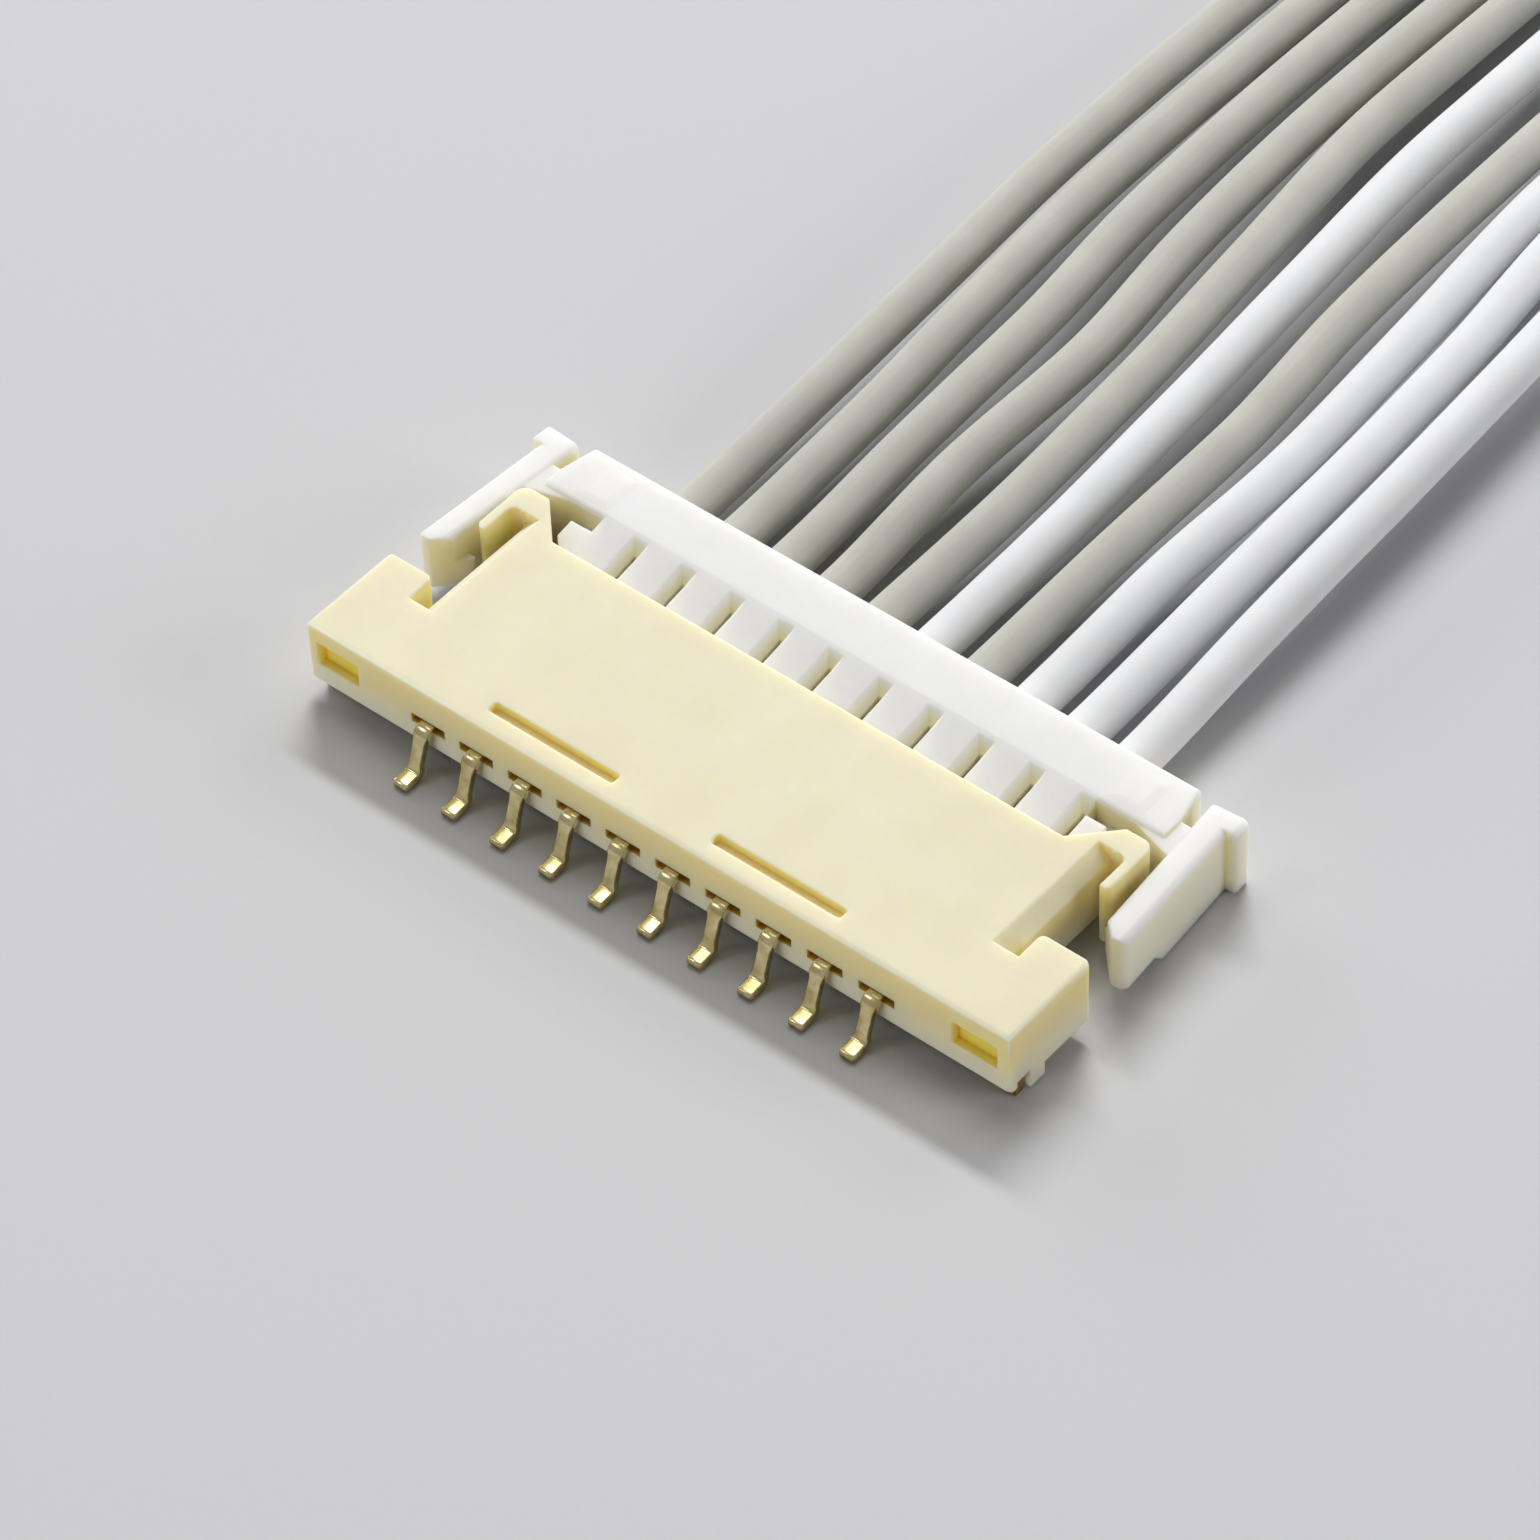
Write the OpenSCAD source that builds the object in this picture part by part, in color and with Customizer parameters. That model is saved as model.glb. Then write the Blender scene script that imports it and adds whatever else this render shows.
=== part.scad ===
// Ten-way wire-to-board connector. A surface-mount header holds ten flat pins,
// and a plug with ten crimped wires is pushed home into it from behind.
// Millimetres. X runs along the row of contacts, Y from the board leads towards
// the wires and Z up from the board. Every place along Y is counted from the
// header's front face, and the whole is then moved so that the origin lies on
// the board under the middle of the mated pair.

/* [Row] */
// Distance between neighbouring contacts
pitch = 1.25; // [1.2:0.05:1.5]
// From the last contact's centre line to the side of the plug's tongue
row_margin = 0.735; // [0.7:0.005:0.9]
// Room left round the tongue inside the header
fit_gap = 0.05; // [0.03:0.01:0.08]

/* [Header housing] */
// Height of the header's top above the board
header_top = 1.95; // [1.9:0.05:2.2]
// Height of the header's underside above the board
standoff = 0.40; // [0.32:0.02:0.44]
// Thickness of the top plate
plate_t = 0.44; // [0.38:0.02:0.5]
// Thickness of the floor under the tongue
floor_t = 0.16; // [0.12:0.02:0.2]
// Thickness of the front wall that carries the pins
front_wall = 1.65; // [1.4:0.05:1.9]
// From the front face to the plate's rear edge
header_depth = 4.70; // [4.5:0.1:5.2]
// Thickness of the side walls beside the tongue
side_wall = 0.94; // [0.85:0.01:1.1]
// Width of the notch between a side wall and its end block
notch_w = 0.27; // [0.2:0.01:0.35]
// Depth of the end block's root, in front of the notch
notch_y = 1.79; // [1.6:0.05:2]
// Width of an end block
block_w = 1.18; // [1.1:0.02:1.3]
// Depth of an end block
block_depth = 2.50; // [2.3:0.05:2.8]
// Rounding of the header's long edges
edge_round = 0.15; // [0.05:0.01:0.18]
// Bevel on the top edges of the side walls, beside the notches
side_bevel = 0.34; // [0.2:0.02:0.38]
// Bevel under the front edge
sole_bevel = 0.10; // [0.05:0.01:0.12]

/* [Header grooves and pockets] */
// Length of each groove in the top plate
groove_l = 3.17; // [2.8:0.05:3.4]
// Width of each groove
groove_w = 0.27; // [0.2:0.01:0.35]
// Depth of each groove
groove_deep = 0.20; // [0.15:0.05:0.4]
// From the front face to a groove
groove_y = 0.45; // [0.4:0.01:0.6]
// From the row's middle to a groove's middle
groove_x = 2.81; // [2.5:0.05:3]
// Width of the pocket in an end block's front
pocket_w = 1.06; // [0.9:0.02:1.1]
// Height of the pocket
pocket_h = 0.60; // [0.5:0.02:0.64]
// Depth of the pocket
pocket_deep = 0.22; // [0.1:0.02:0.22]
// From the header's top down to the pocket
pocket_drop = 0.40; // [0.36:0.02:0.44]
// From a pocket's outer side to the end of the header
pocket_margin = 0.30; // [0.24:0.02:0.36]

/* [Side hooks] */
// Width of the slot between a side wall and its hook's leg
hook_gap = 0.36; // [0.3:0.02:0.42]
// Thickness of a hook's leg
hook_t = 0.22; // [0.18:0.01:0.26]
// How far a hook stands behind the plate's rear edge
hook_reach = 0.88; // [0.8:0.02:1]
// Sideways run of the slanted face that leads to a hook
hook_flare = 0.84; // [0.7:0.02:0.9]
// Thickness of the web at the back of a hook
hook_web = 0.58; // [0.5:0.01:0.64]
// Length of a hook's leg, from the hook's rear face to its tip
leg_l = 1.46; // [1.3:0.02:1.6]
// Bevel on the tip of a leg
leg_bevel = 0.10; // [0.05:0.01:0.15]
// Rounding of a hook's outer rear corner
hook_round = 0.25; // [0.1:0.05:0.3]

/* [Feet] */
// Height of the plastic foot's sole above the board
foot_lift = 0.07; // [0.04:0.01:0.12]
// Thickness of a foot, across the row
foot_w = 0.35; // [0.3:0.01:0.38]
// From the front face to a foot
foot_y = 0.64; // [0.6:0.02:0.7]
// Length of a foot
foot_l = 0.45; // [0.35:0.05:0.6]
// Height of the notch in front of a foot
foot_notch_h = 0.16; // [0.1:0.02:0.2]
// Length of the notch in front of a foot
foot_notch_l = 0.38; // [0.3:0.01:0.38]

/* [Board leads] */
// Thickness of the lead strip
lead_t = 0.18; // [0.14:0.01:0.2]
// Width of a lead outside the housing
lead_w = 0.36; // [0.32:0.01:0.42]
// Width of a lead's riser
waist_w = 0.30; // [0.26:0.01:0.31]
// Height over which a lead narrows to its riser
waist_taper = 0.10; // [0.06:0.02:0.14]
// Straight length before the first bend
lead_root = 0.03; // [0.02:0.01:0.1]
// Slope of a lead's riser against the board
lead_slope = 70; // [60:1:80]
// Inner radius of a lead's bends
lead_bend = 0.08; // [0.06:0.01:0.12]
// Length of the flat foot that is soldered
lead_foot = 0.36; // [0.3:0.02:0.5]
// Width of a pin inside the housing
pin_w = 0.30; // [0.24:0.01:0.32]
// How far a pin stands out of the front wall, into the plug
pin_reach = 1.95; // [1.6:0.05:2.2]
// Bevel on a pin's tip
pin_bevel = 0.09; // [0.04:0.01:0.1]
// Width of the slot round a lead in the front face
slot_w = 0.84; // [0.7:0.02:0.9]
// Room over and under a lead in that slot
slot_room = 0.015; // [0.01:0.005:0.03]
// Depth of that slot
slot_deep = 0.35; // [0.2:0.05:0.5]
// Room round a pressed-in pin or tab
press_gap = 0.01; // [0.005:0.005:0.02]

/* [Hold-downs] */
// Thickness of a hold-down's sheet
tab_t = 0.20; // [0.16:0.01:0.22]
// Width of the upright tab
tab_w = 0.84; // [0.7:0.02:0.88]
// From the end of the header to the tab
tab_margin = 0.12; // [0.1:0.01:0.16]
// From the front face to the tab
tab_y = 0.35; // [0.32:0.01:0.38]
// Height of the tab's top above the board
tab_top = 0.86; // [0.7:0.02:0.9]
// Length of the soldered foot
tab_foot = 1.30; // [1:0.05:1.6]

/* [Plug housing] */
// Gap between the tongue's front and the front wall
seat_gap = 0.10; // [0.06:0.02:0.2]
// Bevel round the front of the tongue
tongue_bevel = 0.10; // [0.04:0.02:0.12]
// From the plate's rear edge to the bar
shelf_l = 1.30; // [1.2:0.05:1.5]
// How far the shelf's shoulders reach past the tongue, behind the header
shoulder_w = 0.38; // [0.3:0.02:0.4]
// Length of the hollow between a shoulder and the bar
hollow_l = 0.37; // [0.3:0.01:0.4]
// How far a hollow cuts into the shelf, from the tongue's side
hollow_w = 0.16; // [0.14:0.01:0.18]
// Depth of a hollow
hollow_deep = 0.30; // [0.2:0.02:0.4]
// From the plate's rear edge to the thick root of the tongue
root_gap = 0.10; // [0.06:0.02:0.16]
// Depth of the bar, along the wires
bar_depth = 1.47; // [1.4:0.05:1.7]
// How far the bar reaches sideways past the tongue at the back
bar_side = 1.24; // [1.1:0.02:1.3]
// How much wider the bar is at the webs than at the back
bar_flare = 0.19; // [0.1:0.01:0.22]
// Height of the bar's underside above the board
bar_lift = 0.05; // [0.03:0.01:0.08]
// How far the bar's top stands above the low front end of the shelf
bar_step = 0.25; // [0.2:0.01:0.3]
// Rounding of the bar's top edges
bar_round = 0.14; // [0.04:0.02:0.16]
// Height of the raised pads on the bar's ends
pad_rise = 0.03; // [0.03:0.01:0.08]
// Width of a raised pad
pad_w = 0.90; // [0.7:0.05:1]
// Depth of a raised pad
pad_depth = 1.05; // [0.9:0.05:1.05]
// From the bar's rear corner to a raised pad
pad_margin = 0.45; // [0.35:0.05:0.6]
// From the bar's front face to a raised pad
pad_y = 0.17; // [0.16:0.01:0.2]
// Run of a raised pad's sloping sides
pad_slope = 0.20; // [0.06:0.02:0.2]
// Thinnest wall under and in front of a terminal
plug_wall = 0.105; // [0.08:0.005:0.11]

/* [Lock arms] */
// Thickness of an arm
arm_t = 0.66; // [0.58:0.02:0.72]
// Gap between an arm's root and a hook's leg
arm_gap = 0.11; // [0.08:0.01:0.16]
// How far an arm leans outwards, in degrees
arm_splay = 4; // [2.5:0.5:5]
// Rounding of an arm's top edges
arm_round = 0.17; // [0.08:0.01:0.2]
// How far an arm's nose reaches past the tip of a hook's leg
nose_reach = 0.74; // [0.66:0.02:0.8]
// Length of the slanted face inside the nose
nose_slant = 0.38; // [0.3:0.02:0.42]
// Height of the nose's underside above the arm's
nose_lift = 0.29; // [0.2:0.01:0.35]
// Height of the latch on an arm's inner side
latch_h = 0.60; // [0.5:0.05:0.7]
// Height of the latch's underside above the board
latch_z = 0.45; // [0.4:0.05:0.5]
// Room between a latch and a hook's leg, to the side and in front
latch_gap = 0.04; // [0.03:0.01:0.06]
// Length of the slanted face of a latch
latch_slant = 0.30; // [0.25:0.01:0.35]
// Flat length of a latch's crest
latch_crest = 0.10; // [0.06:0.02:0.14]
// Gap between a web and the back of a hook
web_gap = 0.16; // [0.12:0.02:0.2]
// Depth of the web that joins an arm to the bar
web_depth = 0.83; // [0.7:0.02:0.9]
// How much lower a web's top is than the bar's
web_drop = 0.06; // [0.03:0.01:0.1]
// Length of an arm behind its web
tail_l = 0.74; // [0.65:0.02:0.85]
// How far the pressing pad stands out of an arm
press_pad = 0.25; // [0.15:0.01:0.3]
// Length of the pressing pad
press_l = 0.46; // [0.35:0.02:0.5]
// Rounding of the pressing pad's upright edges
press_round = 0.10; // [0.04:0.02:0.16]

/* [Windows in the shelf] */
// Width of a window
window_w = 0.41; // [0.39:0.01:0.43]
// From a contact's centre line to its window
window_x = 0.20; // [0.19:0.01:0.21]
// Depth of a window's floor below the shelf
window_deep = 0.14; // [0.1:0.01:0.14]
// Width of the slit in that floor, at the foot of the window's slope
slit_w = 0.15; // [0.12:0.01:0.16]
// Depth of the slit
slit_deep = 0.54; // [0.5:0.01:0.58]
// From the end of the slit to the bar's front face
slit_end = 0.29; // [0.24:0.01:0.32]
// Run of the slope from the end of the slit to the end of the window
window_end = 0.33; // [0.3:0.01:0.34]
// How far a window runs under the plate
window_under = 0.15; // [0.05:0.05:0.3]

/* [Crimp terminals] */
// Thickness of the terminal's strip
strip_t = 0.07; // [0.06:0.005:0.075]
// Width of the socket outside
socket_w = 0.54; // [0.5:0.01:0.54]
// Height of the socket outside
socket_h = 0.48; // [0.44:0.01:0.5]
// Length of the socket
socket_l = 2.60; // [2.3:0.05:2.7]
// Room round a terminal in its chamber
term_gap = 0.015; // [0.01:0.005:0.02]
// Gap between the spring in the socket and the pin
spring_gap = 0.01; // [0.005:0.005:0.02]
// Height of the crimp round the bare strands
crimp_h = 0.50; // [0.44:0.02:0.54]
// Length of that crimp
crimp_l = 0.65; // [0.5:0.05:0.7]
// From the bar's front face to the barrel round the insulation
barrel_y = 0.30; // [0.26:0.02:0.36]
// Length of that barrel
barrel_l = 0.90; // [0.7:0.05:1]
// Gap between the barrel's two wings
barrel_seam = 0.06; // [0.04:0.01:0.1]
// Length of the lance that locks a terminal in its window
lance_l = 0.85; // [0.7:0.05:0.9]
// Play of a lance in its window, at its end and beside it
lance_play = 0.05; // [0.03:0.01:0.06]
// How far down under the shelf the lance lies
lance_drop = 0.23; // [0.23:0.01:0.27]

/* [Wires] */
// Diameter of a wire over its insulation
wire_d = 0.92; // [0.84:0.01:0.94]
// Length of a wire behind the bar, up to its stripped end
wire_l = 64.5; // [40:0.5:66]
// Room round a wire in its barrel
wire_gap = 0.005; // [0.002:0.001:0.008]
// Diameter of the tinned strands at the stripped end
strand_d = 0.40; // [0.3:0.02:0.5]
// Length of the stripped end
strip_l = 2.5; // [1.5:0.5:4]

/* [Hidden] */
// Stretches of each wire's route: share of the wire's length behind the bar, height
// of its middle in wire diameters, and how far each wire strays sideways, in pitches
wire_route = [
    [0.07, 1.03, [-0.02, -0.02, -0.06, -0.10, 0.10, 0.06, 0.06, 0.02, 0.02, -0.06]],
    [0.13, 1.20, [-0.10, -0.18, -0.10, 0.02, 0.02, -0.02, 0.14, 0.18, 0.02, -0.10]],
    [0.20, 1.25, [-0.26, -0.34, -0.38, -0.30, -0.26, -0.22, -0.10, 0.02, -0.10, -0.22]],
    [0.29, 1.09, [-0.34, -0.38, -0.50, -0.50, -0.66, -0.50, -0.22, -0.30, -0.50, -0.46]],
    [0.57, 0.51, [-0.22, -0.26, -0.38, -0.42, -0.54, -0.50, -0.30, -0.42, -0.54, -0.50]],
    [1.00, 0.51, [-0.06, -0.10, -0.22, -0.34, -0.38, -0.42, -0.38, -0.42, -0.46, -0.50]]
];
// Colour of each wire's insulation, from the left
GREY = "#b2b2aa";
WHITE = "#ebecee";
wire_colours = [GREY, GREY, GREY, GREY, GREY, WHITE, GREY, WHITE, WHITE, WHITE];
ways = len(wire_colours);

// Overlap of shapes that are joined, and excess of shapes that cut
lap = 0.05;
// Overlap of the arcs in a lead with its straight stretches, in degrees
bend_lap = 1;
wire_sides = 8;
$fn = 48;

// Places along the row
row_half = (ways - 1) / 2 * pitch;
tongue_half = row_half + row_margin;
cavity_half = tongue_half + fit_gap;
body_half = cavity_half + side_wall;
block_in = body_half + notch_w;
block_out = block_in + block_w;
leg_in = body_half + hook_gap;
leg_out = leg_in + hook_t;
arm_x = leg_out + arm_gap + arm_t / 2;
bar_half = tongue_half + bar_side;
shoulder_half = tongue_half + shoulder_w;
hollow_in = tongue_half - hollow_w;

// Places of a window and its slit, from the contact's centre line
window_far = window_x + window_w;
slit_x = window_far - slit_w;

// Heights
cavity_bottom = standoff + floor_t;
cavity_top = header_top - plate_t;
pin_z = (cavity_bottom + cavity_top) / 2;
tongue_bottom = cavity_bottom + fit_gap;
shelf_z = cavity_top - fit_gap;
bar_top = shelf_z + bar_step;
barrel_r = wire_d / 2 + wire_gap + strip_t;
wire_z = bar_lift + plug_wall + term_gap + barrel_r;
crimp_bottom = wire_z - crimp_h / 2;
root_bottom = crimp_bottom - term_gap - plug_wall;
socket_bottom = pin_z - socket_h / 2;
chamber_top = pin_z + socket_h / 2 + term_gap;
lance_z = shelf_z - lance_drop;

// Places along Y
pin_tip = front_wall + pin_reach;
tongue_front = front_wall + seat_gap;
socket_front = tongue_front + plug_wall + term_gap;
socket_rear = socket_front + socket_l;
hook_rear = header_depth + hook_reach;
leg_tip = hook_rear - leg_l;
bar_front = header_depth + shelf_l;
bar_rear = bar_front + bar_depth;
root_front = header_depth + root_gap;
step_y = root_front + plug_wall + term_gap;
crimp_front = bar_front - crimp_l;
barrel_front = bar_front + barrel_y;
web_front = hook_rear + web_gap;
web_rear = web_front + web_depth;
arm_y = (web_front + web_rear) / 2;
nose_y = leg_tip - nose_reach;
tail_y = web_rear + tail_l;
window_front = header_depth - window_under;
slit_rear = bar_front - slit_end;
window_rear = slit_rear + window_end;
shoulder_y = root_front + shoulder_w * hook_reach / hook_flare;
hollow_front = bar_front - hollow_l;
ramp_rear = bar_front + bar_round;
ramp_tilt = atan(bar_step / (ramp_rear - root_front));

// The lead's path: a bend down, a slanted riser and a bend back to level
bend_mid = lead_bend + lead_t / 2;
riser_drop = pin_z - lead_t / 2 - 2 * bend_mid * (1 - cos(lead_slope));
riser_l = riser_drop / sin(lead_slope);
lead_run = 2 * bend_mid * sin(lead_slope) + riser_l * cos(lead_slope);
lead_reach = lead_root + lead_run + lead_foot;

// Middle of the mated pair, from the lead tips to the back of the bar
centre_y = (bar_rear - lead_reach) / 2;

// Place of a contact along the row, counted from the left
function contact_x(i) = (i - (ways + 1) / 2) * pitch;

// Points of a wire's route, straight out of its barrel and then as chosen
function wire_points(i) = concat(
    [for (y = [barrel_front, bar_rear + wire_d / 2]) [contact_x(i), y, wire_z]],
    [for (row = wire_route) [
        contact_x(i) + pitch * row[2][i - 1],
        bar_rear + wire_l * row[0],
        wire_d * row[1]
    ]]
);

// Carries a section drawn in Y and Z along X, from x0 to x1
module along_x(x0, x1) {
    translate([x0, 0, 0]) rotate([90, 0, 90]) linear_extrude(x1 - x0) children();
}

// Carries a section drawn in X and Z along Y, from y0 to y1
module along_y(y0, y1) {
    translate([0, y1, 0]) rotate([90, 0, 0]) linear_extrude(y1 - y0) children();
}

// A plain block between two corners
module block(low, high) {
    translate(low) cube(high - low);
}

// A rectangle between two corners
module plate(low, high) {
    translate(low) square(high - low);
}

// A rectangle with rounded corners
module rounded_plate(low, high, r) {
    plate(low + [r, 0], high - [r, 0]);
    plate(low + [0, r], high - [0, r]);
    for (x = [low[0] + r, high[0] - r], y = [low[1] + r, high[1] - r]) {
        translate([x, y]) circle(r);
    }
}

// A rectangle with its two upper corners rounded
module round_topped(low, high, r) {
    plate(low, high - [0, r]);
    plate(low + [r, 0], high - [r, 0]);
    for (x = [low[0] + r, high[0] - r]) {
        translate([x, high[1] - r]) circle(r);
    }
}

// The shape on the right side, and its mirror image on the left
module both_sides() {
    children();
    mirror([1, 0, 0]) children();
}

// An arc of strip, drawn round its centre between two angles
module strip_arc(radius, thickness, from, to) {
    far = 3 * (radius + thickness);
    middle = (from + to) / 2;
    intersection() {
        difference() {
            circle(radius + thickness / 2);
            circle(radius - thickness / 2);
        }
        polygon([
            [0, 0],
            far * [cos(from), sin(from)],
            far * [cos(middle), sin(middle)],
            far * [cos(to), sin(to)]
        ]);
    }
}

// Header housing

// Outline of a hook at the right side, seen from above, with its slot open
module hook_plan() {
    difference() {
        union() {
            polygon([
                [cavity_half - lap, header_depth - lap],
                [cavity_half, header_depth],
                [cavity_half + hook_flare, hook_rear],
                [leg_out - hook_round, hook_rear],
                [leg_out, hook_rear - hook_round],
                [leg_out, leg_tip + leg_bevel],
                [leg_out - leg_bevel, leg_tip],
                [body_half - lap, leg_tip]
            ]);
            translate([leg_out - hook_round, hook_rear - hook_round]) circle(hook_round);
        }
        plate([body_half, leg_tip - lap], [leg_in, hook_rear - hook_web - hook_gap / 2]);
        translate([body_half + hook_gap / 2, hook_rear - hook_web - hook_gap / 2]) circle(hook_gap / 2);
    }
}

// Outline of the header from above
module header_plan() {
    plate([-body_half, 0], [body_half, header_depth]);
    both_sides() {
        plate([body_half - lap, 0], [block_in + edge_round, notch_y]);
        rounded_plate([block_in, 0], [block_out, block_depth], edge_round);
        hook_plan();
    }
}

// Outline of the header from the side: front edge rounded above, bevelled below
module header_side() {
    rear = hook_rear + lap;
    difference() {
        union() {
            plate([0, standoff], [rear, header_top - edge_round]);
            plate([edge_round, standoff], [rear, header_top]);
            translate([edge_round, header_top - edge_round]) circle(edge_round);
        }
        polygon([
            [-lap, standoff - lap],
            [sole_bevel + lap, standoff - lap],
            [-lap, standoff + sole_bevel + lap]
        ]);
    }
}

// Place of the hold-down's tab in the right end block
function tab_low() = [block_out - tab_margin - tab_w, tab_y, 0];
function tab_high() = [block_out - tab_margin, tab_y + tab_t, tab_top];

module header_housing() {
    color("#ece6ca") difference() {
        union() {
            intersection() {
                translate([0, 0, standoff]) linear_extrude(header_top - standoff) header_plan();
                along_x(-block_out, block_out) header_side();
                along_y(-lap, hook_rear + lap) {
                    round_topped([-block_out, standoff], [block_out, header_top], edge_round);
                }
            }
            both_sides() {
                along_x(block_out - foot_w, block_out) {
                    plate([foot_y, foot_lift], [foot_y + foot_l, standoff + lap]);
                }
            }
        }
        block(
            [-cavity_half, front_wall, cavity_bottom],
            [cavity_half, hook_rear + lap, cavity_top]
        );
        for (i = [1:ways]) translate([contact_x(i), 0, pin_z]) lead_opening();
        both_sides() {
            translate([0, 0, header_top - groove_deep]) linear_extrude(groove_deep + lap) {
                translate([groove_x - groove_l / 2, groove_y]) {
                    rounded_plate([0, 0], [groove_l, groove_w], groove_w / 4);
                }
            }
            end_block_cuts();
            along_y(notch_y, hook_rear - hook_web) polygon([
                [body_half - side_bevel, header_top],
                [body_half + lap, header_top - side_bevel - lap],
                [body_half + lap, header_top]
            ]);
        }
    }
}

// Slot in the front face round a lead, and the narrow way for the pin behind it
module lead_opening() {
    slot_half = lead_t / 2 + slot_room;
    block([-slot_w / 2, -lap, -slot_half], [slot_w / 2, slot_deep, slot_half]);
    block(
        [-pin_w / 2 - press_gap, slot_deep - lap, -lead_t / 2 - press_gap],
        [pin_w / 2 + press_gap, front_wall + lap, lead_t / 2 + press_gap]
    );
}

// Pocket, hold-down slot and foot notch of the right end block
module end_block_cuts() {
    grip = [press_gap, press_gap, press_gap];
    pocket_top = header_top - pocket_drop;
    block(
        [block_out - pocket_margin - pocket_w, -lap, pocket_top - pocket_h],
        [block_out - pocket_margin, pocket_deep, pocket_top]
    );
    block(tab_low() - grip, tab_high() + grip);
    block(
        [block_out - foot_w, foot_y - foot_notch_l, standoff - lap],
        [block_out + lap, foot_y, standoff + foot_notch_h]
    );
}

// Header contacts

// Profile of a contact in Y and Z, from inside the slot down to the solder foot
module lead_profile() {
    top_centre = [-lead_root, pin_z - bend_mid];
    foot_centre = [-lead_root - lead_run, lead_t / 2 + bend_mid];
    riser_top = top_centre + bend_mid * [cos(90 + lead_slope), sin(90 + lead_slope)];
    plate([-lead_root - lap / 10, pin_z - lead_t / 2], [slot_deep, pin_z + lead_t / 2]);
    translate(top_centre) strip_arc(bend_mid, lead_t, 90 - bend_lap, 90 + bend_lap + lead_slope);
    translate(riser_top) rotate(180 + lead_slope) plate([0, -lead_t / 2], [riser_l, lead_t / 2]);
    translate(foot_centre) strip_arc(bend_mid, lead_t, -90 - bend_lap, lead_slope + bend_lap - 90);
    plate([-lead_reach, 0], [-lead_root - lead_run + lap / 10, lead_t]);
}

// Outline of a lead from the front: wide at its foot and its top, narrow between
module lead_front() {
    half = lead_w / 2;
    waist = waist_w / 2;
    low = lead_t + lead_bend;
    high = pin_z - lead_t / 2 - lead_bend;
    right_side = [
        [half, 0],
        [half, low],
        [waist, low + waist_taper],
        [waist, high - waist_taper],
        [half, high],
        [half, pin_z + lead_t]
    ];
    left_side = [for (k = [len(right_side) - 1:-1:0]) [-right_side[k][0], right_side[k][1]]];
    polygon(concat(right_side, left_side));
}

module header_contact(i) {
    color("#cdb87c") translate([contact_x(i), 0, 0]) {
        intersection() {
            along_x(-lead_w / 2, lead_w / 2) lead_profile();
            along_y(-lead_reach, slot_deep) lead_front();
        }
        translate([0, 0, pin_z - lead_t / 2]) linear_extrude(lead_t) {
            polygon([
                [-pin_w / 2, slot_deep - lap],
                [pin_w / 2, slot_deep - lap],
                [pin_w / 2, pin_tip - 2 * pin_bevel],
                [pin_w / 2 - pin_bevel, pin_tip],
                [pin_bevel - pin_w / 2, pin_tip],
                [-pin_w / 2, pin_tip - 2 * pin_bevel]
            ]);
        }
    }
}

// Hold-down of the right end block: an upright tab and a foot behind it
module hold_down() {
    color("#b08a50") {
        block(tab_low(), tab_high());
        block(tab_low(), [block_out - foot_w - tab_margin, tab_y + tab_foot, tab_t]);
    }
}

module right_hold_down() {
    hold_down();
}

module left_hold_down() {
    mirror([1, 0, 0]) hold_down();
}

// Plug housing

// Outline of the bar and the webs from above, right side
module bar_plan() {
    polygon([
        [-lap, bar_front],
        [bar_half - pad_margin, bar_front],
        [leg_out + arm_gap, web_front],
        [arm_x, web_front],
        [arm_x, web_rear],
        [bar_half + bar_flare, web_rear],
        [bar_half, bar_rear],
        [-lap, bar_rear]
    ]);
}

// Bar and webs: the outline, with the top edges rounded and the webs lowered
module bar() {
    intersection() {
        translate([0, 0, bar_lift]) linear_extrude(bar_top - bar_lift) both_sides() bar_plan();
        union() {
            along_x(-bar_half - bar_flare, bar_half + bar_flare) {
                round_topped([bar_front, bar_lift], [bar_rear, bar_top], bar_round);
                plate([web_front, bar_lift], [bar_front + bar_round, bar_top - web_drop]);
            }
            along_x(-arm_x, arm_x) {
                plate([web_front, bar_lift], [web_rear, bar_top - web_drop]);
            }
        }
    }
    both_sides() bar_pad();
}

// Section of a raised pad between two places, with sloping sides
module pad_section(from, to) {
    polygon([
        [from, bar_top - lap],
        [to, bar_top - lap],
        [to, bar_top],
        [to - pad_slope, bar_top + pad_rise],
        [from + pad_slope, bar_top + pad_rise],
        [from, bar_top]
    ]);
}

// Raised pad on the right end of the bar
module bar_pad() {
    low = [bar_half - pad_margin - pad_w, bar_front + pad_y];
    high = low + [pad_w, pad_depth];
    intersection() {
        along_x(low[0], high[0]) pad_section(low[1], high[1]);
        along_y(low[1], high[1]) pad_section(low[0], high[0]);
    }
}

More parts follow.
